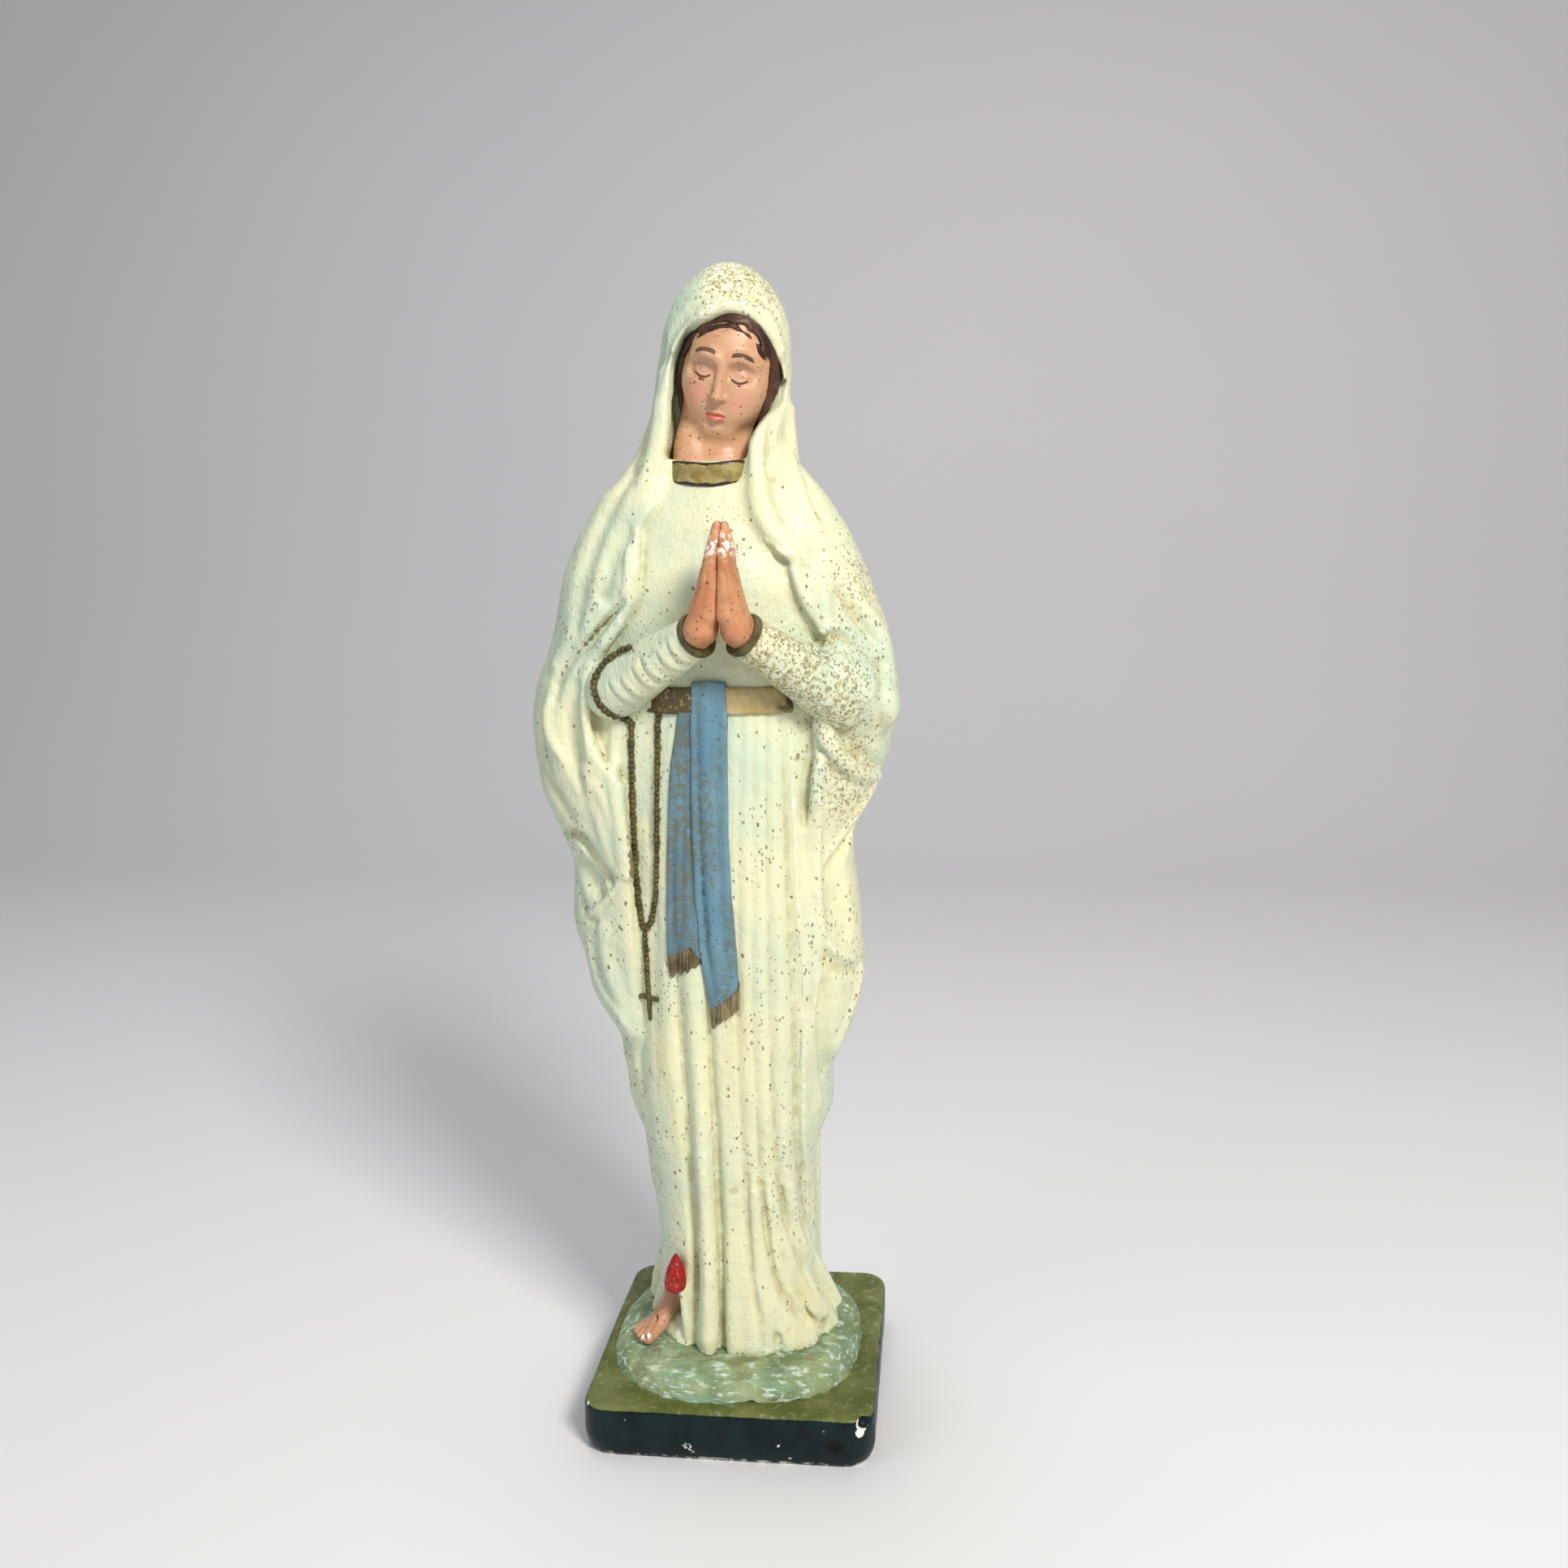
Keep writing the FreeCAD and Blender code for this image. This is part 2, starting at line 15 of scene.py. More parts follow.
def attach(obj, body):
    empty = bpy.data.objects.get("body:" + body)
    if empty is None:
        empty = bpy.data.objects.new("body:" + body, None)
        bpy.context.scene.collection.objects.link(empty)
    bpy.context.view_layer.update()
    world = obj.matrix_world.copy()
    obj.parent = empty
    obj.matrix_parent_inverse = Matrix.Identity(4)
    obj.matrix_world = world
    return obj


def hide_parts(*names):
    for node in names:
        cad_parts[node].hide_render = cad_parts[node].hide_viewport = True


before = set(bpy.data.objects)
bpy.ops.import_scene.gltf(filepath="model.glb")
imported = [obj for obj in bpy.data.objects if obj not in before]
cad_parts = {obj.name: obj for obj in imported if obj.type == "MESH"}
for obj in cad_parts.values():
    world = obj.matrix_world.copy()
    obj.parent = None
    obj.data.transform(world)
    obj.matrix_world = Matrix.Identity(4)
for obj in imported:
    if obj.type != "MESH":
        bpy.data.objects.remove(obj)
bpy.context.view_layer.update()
MM = 0.001
F4 = np.float32

# ---------------------------------------------------------------- the object's sizes, in mm
MOUND_TOP = 40.0
BELT_Z = 388.0
GOWN_TOP = 500.0
HOOD_FOOT = 505.0
PLINTH_TOP = 28.0
COLLAR_Z = 498.0
LEAN = 0.045  # how far the seam between the hands leans, for each mm of height
FINGERTIP = (6.5, -70.0, 474.0)
HEAD_PLACE = (3.2, -3.0, 551.0)
HEAD_ROLL, HEAD_NOD = 12.0, 13.0  # degrees

# Where the rosary hangs and where it loops round the forearm: (x, z) from the front.
ROSARY_RUNS = [
    [(-45.4, 376.0), (-46.0, 335.0), (-45.4, 295.0), (-43.6, 276.0), (-42.2, 270.0)],
    [(-31.2, 381.0), (-32.8, 335.0), (-34.8, 292.0), (-38.0, 276.0), (-41.0, 270.0)],
    [(-41.8, 268.0), (-41.6, 252.0), (-41.2, 238.0)],
]
LOOP_RUN = [(-42, 414.5), (-50, 411), (-57.5, 404.5), (-61, 396), (-58.5, 387), (-53, 381), (-46, 376.5)]

# Stations: height, right side (-X), left side (+X), front (-Y), back (+Y).
ROBE = [
    (36, -49, 53, -41, 43),
    (45, -46, 51, -40, 42),
    (58, -43, 45, -38.5, 40),
    (80, -44, 39.5, -37.5, 37),
    (112, -47, 38.3, -38, 37),
    (145, -49, 39, -40, 37),
    (200, -50, 42, -43.5, 39),
    (270, -50, 43, -46.5, 39),
    (340, -47, 41.5, -47, 37),
    (388, -43, 38, -45, 34),
    (415, -46, 43, -45, 36),
    (445, -47.5, 44, -42.5, 37),
    (470, -43, 38, -36.5, 34),
    (485, -35, 27, -31, 29),
    (500, -25, 15, -27, 22),
]
MANTLE = [
    (40, -53, 48, -30, 50),
    (55, -48, 44, -30, 48),
    (75, -44.5, 38.5, -30, 46),
    (112, -46, 37.5, -32, 45.5),
    (142, -50.5, 40.5, -34, 46),
    (152, -52, 44.5, -35, 46.5),
    (165, -59, 50, -37, 47),
    (188, -62.5, 50, -39, 48),
    (193, -64, 52, -40, 48),
    (204, -64.5, 58.5, -41, 48.5),
    (216, -72, 63.5, -42, 49),
    (229, -78, 66, -42.5, 49.5),
    (251, -82, 68, -44, 50),
    (268, -87, 66, -45, 50),
    (300, -85.5, 62, -46, 50.5),
    (316, -92, 62, -47, 51),
    (334, -100.2, 71, -48, 51.5),
    (355, -103.6, 80.5, -49.5, 51.5),
    (376, -104.6, 85.6, -50, 51.5),
    (393, -102, 85.8, -50, 51),
    (410, -94.5, 83, -49, 50),
    (422, -91, 79.5, -48, 50),
    (447, -86, 71, -45, 48.5),
    (467, -78, 62, -40, 46.5),
    (487, -66.5, 49, -35, 43.5),
    (498, -54, 39.5, -31.5, 41),
    (507, -47.5, 31.5, -30, 40),
    (516, -43.3, 29, -30, 40),
    (526, -39, 29.8, -31, 40.5),
    (540, -36, 31.2, -32, 41),
    (556, -33.2, 32.0, -33, 41),
]


# ---------------------------------------------------------------- clay
def profile(stations, z):
    """Centre and half size of the cross-section at each height z, rounded off between stations."""
    table = np.array(stations, float)
    dense = np.arange(table[0, 0] - 20, table[-1, 0] + 20, 1.0)
    reach = np.arange(-12, 13)
    bell = np.exp(-((reach / 4.0) ** 2))
    bell /= bell.sum()
    sides = []
    for column in range(1, 5):
        line = np.interp(dense, table[:, 0], table[:, column])
        line = np.convolve(np.pad(line, 12, mode="edge"), bell, mode="valid")
        sides.append(np.interp(z, dense, line))
    right, left, front, back = sides
    return (left + right) / 2, (left - right) / 2, (front + back) / 2, (back - front) / 2


def oval(x, y, z, stations, square=2.25):
    """Distance from a form through stations, measured level and outwards from its axis."""
    cx, hx, cy, hy = (v.astype(F4) for v in profile(stations, z.ravel()))
    u, v = x - cx, y - cy
    reach = (np.abs(u / hx) ** square + np.abs(v / hy) ** square) ** (1 / square)
    return (np.hypot(u, v) * (1 - 1 / np.maximum(reach, 1e-3))).astype(F4)


def egg(x, y, z, centre, half, roll=0.0):
    """Near distance from an ellipsoid, turned about the Y axis by roll degrees."""
    c, s = math.cos(math.radians(roll)), math.sin(math.radians(roll))
    u, v, w = x - centre[0], y - centre[1], z - centre[2]
    u, w = u * c - w * s, u * s + w * c
    near = np.sqrt((u / half[0]) ** 2 + (v / half[1]) ** 2 + (w / half[2]) ** 2)
    slope = np.sqrt((u / half[0] ** 2) ** 2 + (v / half[1] ** 2) ** 2 + (w / half[2] ** 2) ** 2)
    return (near * (near - 1) / np.maximum(slope, 1e-6)).astype(F4)


def slab(x, y, z, low, high, round_by=0.0):
    """Distance from a box between two corners, with rounded edges."""
    mid = [(a + b) / 2 for a, b in zip(low, high)]
    half = [(b - a) / 2 - round_by for a, b in zip(low, high)]
    gaps = [np.abs(v - m) - h for v, m, h in zip((x, y, z), mid, half)]
    outside = np.sqrt(sum(np.maximum(g, 0) ** 2 for g in gaps))
    inside = np.minimum(np.maximum(np.maximum(gaps[0], gaps[1]), gaps[2]), 0)
    return (outside + inside - round_by).astype(F4)


def join(a, b, k):
    """The union of two distances with a fillet of about k."""
    k = max(k, 1e-3)
    h = np.maximum(k - np.abs(a - b), 0) / k
    return np.minimum(a, b) - h * h * (k / 4)


def trim(a, b, k):
    """The part of a inside b, with a rounded edge of about k."""
    return -join(-a, -b, k)


def smooth_path(points, steps=5):
    """A curve through points, whatever each holds beyond its place."""
    p = np.array(points, float)
    if len(p) < 3:
        return np.array([p[0] + (p[-1] - p[0]) * t for t in np.linspace(0, 1, steps + 1)])
    ends = np.vstack([2 * p[0] - p[1], p, 2 * p[-1] - p[-2]])
    result = []
    for i in range(1, len(ends) - 2):
        a, b, c, d = ends[i - 1 : i + 3]
        for t in np.arange(steps) / steps:
            square, cube = 2 * a - 5 * b + 4 * c - d, 3 * b - a - 3 * c + d
            result.append(0.5 * (2 * b + (c - a) * t + square * t**2 + cube * t**3))
    result.append(p[-1])
    return np.array(result)


def noise_field(counts, cell, rng):
    """Smooth noise on a grid of counts, with features about cell grid steps wide and a spread near 1."""
    weights, sizes = [], []
    for n in counts:
        u = np.arange(n) / cell
        base = u.astype(int)
        f = u - base
        w = np.zeros((n, base[-1] + 4))
        rows = np.arange(n)
        w[rows, base] = (1 - f) ** 3 / 6
        w[rows, base + 1] = (3 * f**3 - 6 * f**2 + 4) / 6
        w[rows, base + 2] = (-3 * f**3 + 3 * f**2 + 3 * f + 1) / 6
        w[rows, base + 3] = f**3 / 6
        weights.append(w.astype(F4))
        sizes.append(base[-1] + 4)
    coarse = rng.standard_normal(sizes).astype(F4) * 2.2
    step = np.tensordot(weights[0], coarse, (1, 0))
    step = np.tensordot(weights[1], step, (1, 1)).transpose(1, 0, 2)
    return np.tensordot(step, weights[2], (2, 1))


def softened(d, reach):
    """A field averaged over a box of reach grid steps each way."""
    for axis in range(3):
        n = d.shape[axis]
        padded = np.pad(d, [(reach + 1, reach) if a == axis else (0, 0) for a in range(3)], mode="edge")
        total = np.cumsum(padded, axis=axis, dtype=np.float64)
        upper = np.take(total, np.arange(2 * reach + 1, 2 * reach + 1 + n), axis=axis)
        lower = np.take(total, np.arange(0, n), axis=axis)
        d = ((upper - lower) / (2 * reach + 1)).astype(F4)
    return d


class Clay:
    """A lump of clay on a grid."""

    def __init__(self, low, high, step):
        self.low, self.step = np.array(low, float), step
        counts = np.ceil((np.array(high) - self.low) / step).astype(int) + 1
        self.axes = [(self.low[i] + step * np.arange(counts[i])).astype(F4) for i in range(3)]
        self.d = np.full(counts, 20.0, F4)
        self.relief = 1.0  # how much more or less than asked folds stand out
        self.soft = 1.0  # and how much more softly they blend in

    def grid(self, part=None):
        """The grid's x, y and z, or those of a part of it."""
        x, y, z = (axis[p] for axis, p in zip(self.axes, part or (slice(None),) * 3))
        return x[:, None, None], y[None, :, None], z[None, None, :]

    def part(self, low, high):
        """The part of the grid between two corners, or None."""
        slices = []
        for i in range(3):
            a = max(int((low[i] - self.low[i]) / self.step), 0)
            b = min(int((high[i] - self.low[i]) / self.step) + 2, len(self.axes[i]))
            if a >= b:
                return None
            slices.append(slice(a, b))
        return tuple(slices)

    def stroke(self, points, size, k=3.0, carve=False):
        """Adds or carves a run of clay through points (x, y, z). size is one radius or one for each point."""
        sizes = np.broadcast_to(np.array(size, float), (len(points),))
        run = smooth_path([(*p, s) for p, s in zip(points, sizes)])
        place, size = run[:, :3], np.maximum(run[:, 3], 0.05)
        margin = size.max() + k + self.step
        window = self.part(place.min(0) - margin, place.max(0) + margin)
        if window is None:
            return
        origin = [w.start for w in window]
        near = np.full([w.stop - w.start for w in window], 50.0, F4)
        for a, b, ra, rb in zip(place, place[1:], size, size[1:]):
            low, high = np.minimum(a, b) - margin, np.maximum(a, b) + margin
            piece = self.part(low, high)
            if piece is None:
                continue
            x, y, z = self.grid(piece)
            way = b - a
            length = max(float(way @ way), 1e-9)
            t = ((x - a[0]) * way[0] + (y - a[1]) * way[1] + (z - a[2]) * way[2]) / length
            t = np.clip(t, 0, 1)
            gap = np.sqrt(sum((v - a[i] - t * way[i]) ** 2 for i, v in enumerate((x, y, z))))
            gap = gap - (ra + t * (rb - ra))
            local = tuple(slice(max(p.start - o, 0), p.stop - o) for p, o in zip(piece, origin))
            view = near[local]
            gap = gap[: view.shape[0], : view.shape[1], : view.shape[2]]
            np.minimum(view, gap.astype(F4), out=view)
        if carve:
            self.d[window] = trim(self.d[window], -near, k)
        else:
            self.d[window] = join(self.d[window], near, k)

    def carve(self, points, size, k=3.0):
        """Carves a run out of the clay."""
        self.stroke(points, size, k, carve=True)

    def face_at(self, x, z, side=-1):
        """Where the clay's surface is at x and z, met from the front, or from the back where side is 1."""
        i = int(np.clip(round((x - self.low[0]) / self.step), 0, self.d.shape[0] - 1))
        k = int(np.clip(round((z - self.low[2]) / self.step), 0, self.d.shape[2] - 1))
        line = self.d[i, :, k]
        inside = np.nonzero(line < 0)[0]
        if not len(inside):
            return None
        j = inside[0] if side < 0 else inside[-1]
        o = j - 1 if side < 0 else j + 1
        if o < 0 or o >= len(line):
            return float(self.axes[1][j])
        share = line[o] / max(line[o] - line[j], 1e-6)
        return float(self.axes[1][o] + (self.axes[1][j] - self.axes[1][o]) * share)

    def lay(self, points, size, proud, side=-1):
        """Points (x, z) laid on the surface, so that a run of that size stands proud by so much."""
        flat = smooth_path([(x, z, s, p) for (x, z), s,
                            p in zip(points, _each(size, points), _each(proud, points))])
        depth = [self.face_at(x, z, side) for x, z, _, _ in flat]
        known = [i for i, d in enumerate(depth) if d is not None]
        if not known:
            return None, None
        depth = np.interp(np.arange(len(depth)), known, [depth[i] for i in known])
        if len(depth) > 4:
            bell = np.array([1, 2, 3, 2, 1]) / 9
            depth = np.convolve(np.pad(depth, 2, mode="edge"), bell, mode="valid")
        placed = [(x, d + side * (p - s), z) for (x, z, s, p), d in zip(flat, depth)]
        return placed, flat[:, 2]

    def ridge(self, points, size, proud=1.5, k=3.0, side=-1):
        """A fold that stands out of the surface along points (x, z)."""
        sizes = _each(size, points)
        proud = [min(p * self.relief, 0.9 * s) for s, p in zip(sizes, _fading(proud, points))]
        placed, sizes = self.lay(points, sizes, proud, side)
        if placed:
            self.stroke(placed, sizes, k * self.soft)

    def furrow(self, points, size, deep=1.5, k=2.5, side=-1):
        """A fold that is pressed into the surface along points (x, z)."""
        sizes = _each(size, points)
        lifts = [2 * s - d * self.relief for s, d in zip(sizes, _fading(deep, points))]
        placed, run = self.lay(points, sizes, lifts, side)
        if placed:
            self.stroke(placed, run, k * self.soft, carve=True)

    def roughen(self, amount, cell_mm, rng):
        """Uneven hand finish: swells and hollows about cell_mm wide."""
        self.d -= amount * noise_field(self.d.shape, cell_mm / self.step, rng)

    def sample(self, field, points):
        """Values of a field at points in grid steps."""
        base = np.clip(np.floor(points).astype(int), 0, np.array(field.shape) - 2)
        f = (points - base).astype(F4)
        value = np.zeros(len(points), F4)
        for corner in np.ndindex(2, 2, 2):
            weight = np.prod([f[:, a] if c else 1 - f[:, a] for a, c in enumerate(corner)], axis=0)
            index = base + np.array(corner)
            value += weight * field[index[:, 0], index[:, 1], index[:, 2]]
        return value

    def mesh(self, reach_mm=3.0):
        """Vertices in mm, quads, outward normals, and how hollow the surface is about each vertex."""
        d = np.clip(self.d, -4 * self.step, 4 * self.step)
        for axis in range(3):
            for edge in (0, -1):
                index = [slice(None)] * 3
                index[axis] = edge
                d[tuple(index)] = np.maximum(d[tuple(index)], self.step * 0.5)
        volume = vdb.FloatGrid(4 * self.step)
        volume.copyFromArray(np.ascontiguousarray(d))
        points, quads = volume.convertToQuads(0.0)
        quads = np.array(quads, dtype=np.int64)
        wide = np.clip(self.d, -3 * reach_mm, 3 * reach_mm)
        hollow = -self.sample(softened(wide, max(1, round(reach_mm / self.step))), points)
        normals = np.stack([self.sample(g, points) for g in np.gradient(d)], axis=1)
        normals /= np.maximum(np.linalg.norm(normals, axis=1), 1e-9)[:, None]
        return self.low + points * self.step, quads, normals, hollow


def _each(value, points):
    """One value for each point."""
    return [value] * len(points) if np.isscalar(value) else list(value)


def _fading(value, points):
    """One value for each point, which fades out at both ends unless each was given."""
    if not np.isscalar(value):
        return list(value)
    return [value * (0.15 if i in (0, len(points) - 1) else 1.0) for i in range(len(points))]


def object_from(name, vertices, quads, normals, values, material, place=None):
    """A shaded mesh object in metres from vertices in mm, with named values on its vertices."""
    mesh = bpy.data.meshes.new(name)
    mesh.vertices.add(len(vertices))
    mesh.vertices.foreach_set("co", (vertices * MM).astype(F4).ravel())
    mesh.loops.add(quads.size)
    mesh.loops.foreach_set("vertex_index", quads.astype(np.int32).ravel())
    mesh.polygons.add(len(quads))
    width = quads.shape[1]
    mesh.polygons.foreach_set("loop_start", (np.arange(len(quads)) * width).astype(np.int32))
    mesh.polygons.foreach_set("loop_total", np.full(len(quads), width, np.int32))
    mesh.update(calc_edges=True)
    mesh.polygons.foreach_set("use_smooth", np.ones(len(quads), bool))
    for key, value in values.items():
        attribute = mesh.attributes.new(key, "FLOAT", "POINT")
        attribute.data.foreach_set("value", np.asarray(value, F4))
    if normals is not None:
        mesh.normals_split_custom_set_from_vertices(normals.tolist())
    mesh.materials.append(material)
    ob = bpy.data.objects.new(name, mesh)
    bpy.context.scene.collection.objects.link(ob)
    if place is not None:
        mesh.transform(place)
    return ob


def declare(ob, node):
    """Hides the CAD node that a piece stands for, and lets the piece ride with the figure."""
    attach(ob, "root")
    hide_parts(node)
    return ob


def finish_clay(clay, name, material, node, rough, seed, reach, place=None, extra=None):
    """Roughens, meshes and declares one piece. extra gives more values for its vertices."""
    rng = np.random.default_rng(seed)
    for amount, cell in rough:
        clay.roughen(amount, cell, rng)
    vertices, quads, _, hollow = clay.mesh(reach)
    values = {"hollow": hollow}
    if extra:
        values.update(extra(vertices))
    return declare(object_from(name, vertices, quads, None, values, material, place), node)


# ---------------------------------------------------------------- materials
class Nodes:
    """Short ways to build a material's nodes."""

    def __init__(self, name):
        self.material = bpy.data.materials.new(name)
        self.material.use_nodes = True
        self.tree = self.material.node_tree
        self.bsdf = self.tree.nodes["Principled BSDF"]
        self.place = self.add("ShaderNodeTexCoord").outputs["Object"]

    def add(self, kind, **settings):
        """A new node with its settings."""
        node = self.tree.nodes.new(kind)
        for key, value in settings.items():
            setattr(node, key, value)
        return node

    def link(self, value, socket):
        """Joins another node's output to a socket, or sets the socket to a plain value."""
        if isinstance(value, bpy.types.NodeSocket):
            self.tree.links.new(value, socket)
        elif hasattr(socket.default_value, "__len__") and len(socket.default_value) == 4 and len(value) == 3:
            socket.default_value = (*value, 1.0)
        else:
            socket.default_value = value

    def math(self, operation, a, b=0.0, clamp=False):
        """The result of a sum on two values."""
        node = self.add("ShaderNodeMath", operation=operation, use_clamp=clamp)
        self.link(a, node.inputs[0])
        self.link(b, node.inputs[1])
        return node.outputs[0]

    def times(self, a, b, clamp=False):
        """The product of two values."""
        return self.math("MULTIPLY", a, b, clamp)

    def about_zero(self, noise, spread):
        """Noise moved to lie about 0 and spread out."""
        return self.times(self.math("SUBTRACT", noise, 0.5), spread)

    def value(self, name):
        """A value stored on the vertices."""
        return self.add("ShaderNodeAttribute", attribute_name=name).outputs["Fac"]

    def stretch(self, scale):
        """The place scaled along each axis, which draws a pattern out where the scale is small."""
        node = self.add("ShaderNodeMapping")
        self.link(self.place, node.inputs["Vector"])
        node.inputs["Scale"].default_value = scale
        return node.outputs[0]

    def noise(self, per_metre, detail=3.0, roughness=0.55, place=None, distortion=0.0):
        """Soft noise about 0.5."""
        node = self.add("ShaderNodeTexNoise")
        self.link(place or self.place, node.inputs["Vector"])
        node.inputs["Scale"].default_value = per_metre
        node.inputs["Detail"].default_value = detail
        node.inputs["Roughness"].default_value = roughness
        node.inputs["Distortion"].default_value = distortion
        return node.outputs["Fac"]

    def spots(self, per_metre, place):
        """Distance from the nearest of many scattered points, and a random value for each."""
        node = self.add("ShaderNodeTexVoronoi")
        self.link(place, node.inputs["Vector"])
        node.inputs["Scale"].default_value = per_metre
        return node.outputs["Distance"], node.outputs["Color"]

    def ramp(self, value, low, high):
        """0 below low and 1 above high. low may be the larger."""
        node = self.add("ShaderNodeMapRange", interpolation_type="SMOOTHSTEP")
        self.link(value, node.inputs["Value"])
        flip = low > high
        node.inputs["From Min"].default_value = min(low, high)
        node.inputs["From Max"].default_value = max(low, high)
        node.inputs["To Min"].default_value = 1.0 if flip else 0.0
        node.inputs["To Max"].default_value = 0.0 if flip else 1.0
        return node.outputs["Result"]

    def mix(self, share, a, b):
        """Colour a where share is 0 and b where it is 1."""
        node = self.add("ShaderNodeMix", data_type="RGBA")
        self.link(share, node.inputs[0])
        self.link(a, node.inputs[6])
        self.link(b, node.inputs[7])
        return node.outputs[2]

    def over(self, colour, tint, share, strength):
        """The colour with a tint laid over it: where, and how strongly."""
        return self.mix(self.times(share, strength), colour, tint)

    def axis(self, name):
        """One coordinate in metres: X, Y or Z."""
        node = self.add("ShaderNodeSeparateXYZ")
        self.link(self.place, node.inputs[0])
        return node.outputs[name]

    def facing(self, name):
        """One part of the surface normal: X, Y or Z."""
        node = self.add("ShaderNodeSeparateXYZ")
        self.link(self.add("ShaderNodeNewGeometry").outputs["Normal"], node.inputs[0])
        return node.outputs[name]

    def bump(self, *layers):
        """Fine relief from (height, distance in mm) layers, one over another."""
        normal = None
        for height, distance in layers:
            node = self.add("ShaderNodeBump")
            node.inputs["Strength"].default_value = 1.0
            node.inputs["Distance"].default_value = distance * MM
            self.link(height, node.inputs["Height"])
            if normal is not None:
                self.link(normal, node.inputs["Normal"])
            normal = node.outputs["Normal"]
        self.link(normal, self.bsdf.inputs["Normal"])

    def finish(self, colour, roughness):
        """The material, with its colour and roughness joined up."""
        self.link(colour, self.bsdf.inputs["Base Color"])
        self.link(roughness, self.bsdf.inputs["Roughness"])
        self.bsdf.inputs["Specular IOR Level"].default_value = 0.4
        return self.material


def speckles(n, per_metre, size, density, stretch=(1, 1, 1), where=None):
    """Small scattered specks: 1 on a speck and 0 elsewhere. where raises how many there are."""
    distance, colour = n.spots(per_metre, n.stretch(stretch))
    wobble = n.noise(per_metre * 3, 2.0)
    edge = n.math("ADD", distance, n.about_zero(wobble, 0.60))
    pick = n.add("ShaderNodeSeparateColor")
    n.link(colour, pick.inputs[0])
    share = n.times(where, density) if where is not None else density
    chosen = n.math("LESS_THAN", pick.outputs[0], share)
    sized = n.times(n.math("ADD", n.times(pick.outputs[1], 0.7), 0.3), size)
    return n.times(chosen, n.ramp(n.math("SUBTRACT", edge, sized), 0.04, -0.04))


def ivory(name, wear=1.0, dusty=None):
    """Old ivory paint on plaster: yellowed and blue-green in places, a painted cool shade on the sides that
    face the figure's right, painted shade and dirt in the hollows, dark specks.
    """
    n = Nodes(name)
    cream, yellow, cool = (0.765, 0.755, 0.500), (0.70, 0.61, 0.30), (0.585, 0.68, 0.515)
    broad = n.noise(14.0, 3.0)
    streaks = n.noise(38.0, 4.0, 0.6, n.stretch((1.0, 1.0, 0.18)))
    colour = n.mix(n.ramp(broad, 0.40, 0.72), cream, cool)
    # Painted shade: surfaces that face the figure's right (-X) take a cool green tint, as on the side turned
    # from the light.
    shade = n.ramp(n.facing("X"), -0.15, -0.85)
    colour = n.over(colour, (0.50, 0.64, 0.50), shade, 0.55)
    colour = n.over(colour, yellow, n.ramp(streaks, 0.54, 0.74), 0.55)
    stain = n.ramp(n.noise(70.0, 5.0, 0.65), 0.60, 0.76)
    colour = n.over(colour, (0.60, 0.47, 0.22), stain, 0.42)

    hollow = n.value("hollow")
    # Painted shade with some dirt: patchy olive-brown in the hollows, strongest in the deep folds.
    hollow_shade_and_dirt = n.times(n.ramp(hollow, 0.10, 0.75), n.ramp(n.noise(120.0, 4.0), 0.25, 0.65))
    colour = n.over(colour, (0.44, 0.38, 0.18), hollow_shade_and_dirt, 0.62)
    # Dark colour laid where grime is high: along the mantle's deepest crease, the hem, by the left sleeve's
    # cuff, and round the rosary.
    grime = n.value("grime")
    wander = n.about_zero(n.noise(330.0, 4.0, 0.65), 1.5)
    packed = n.ramp(n.math("ADD", grime, n.times(wander, n.ramp(grime, 0.0, 0.1))), 0.30, 0.55)
    colour = n.over(colour, (0.13, 0.10, 0.045), packed, 0.9)

    crowd = n.math("ADD", 0.55, n.ramp(n.noise(22.0, 2.0), 0.42, 0.72))
    if dusty is not None:
        crowd = n.math("ADD", crowd, n.times(n.value("dusty"), dusty))
    fine = speckles(n, 330.0, 0.24, 0.25 * wear, (1, 1, 0.65), crowd)
    coarse = speckles(n, 110.0, 0.10, 0.22 * wear, (1, 1, 0.6), crowd)
    dust = speckles(n, 560.0, 0.40, 0.55 * wear, (1, 1, 0.8), n.math("SUBTRACT", crowd, 0.62))
    fine = n.math("MAXIMUM", fine, n.times(dust, 0.8))
    tint = n.mix(n.ramp(n.noise(160.0, 1.0), 0.40, 0.60), (0.085, 0.070, 0.028), (0.36, 0.26, 0.10))
    colour = n.over(colour, tint, n.math("MAXIMUM", fine, coarse), 0.85)
    if dusty is not None:
        patch = n.math("ADD", n.noise(420.0, 4.0, 0.7), n.times(n.value("dusty"), 0.12))
        crust = n.times(n.ramp(patch, 0.61, 0.68), n.ramp(n.value("dusty"), 0.15, 0.6))
        colour = n.over(colour, n.mix(n.ramp(patch, 0.67, 0.76), (0.44, 0.32, 0.11), (0.20, 0.145, 0.05)),
                        crust, 0.72)
    ochre = speckles(n, 40.0, 0.11, 0.16 * wear)
    colour = n.over(colour, (0.60, 0.40, 0.16), ochre, 0.55)

    edge_wear = n.times(n.ramp(hollow, -0.35, -1.1), n.ramp(n.noise(260.0, 4.0), 0.52, 0.62))
    colour = n.over(colour, (0.90, 0.89, 0.82), edge_wear, 0.7)
    brush = n.noise(900.0, 3.0, 0.6, n.stretch((1.0, 1.0, 0.10)))
    pits = n.times(n.math("MAXIMUM", fine, coarse), -1.0)
    n.bump((n.noise(75.0, 5.0, 0.6), 1.3), (n.noise(260.0, 4.0, 0.6), 0.6), (brush, 0.38), (pits, 0.35))
    gloss = n.ramp(n.noise(60.0, 3.0), 0.3, 0.7)
    return n.finish(colour, n.math("ADD", 0.27, n.times(gloss, 0.16)))


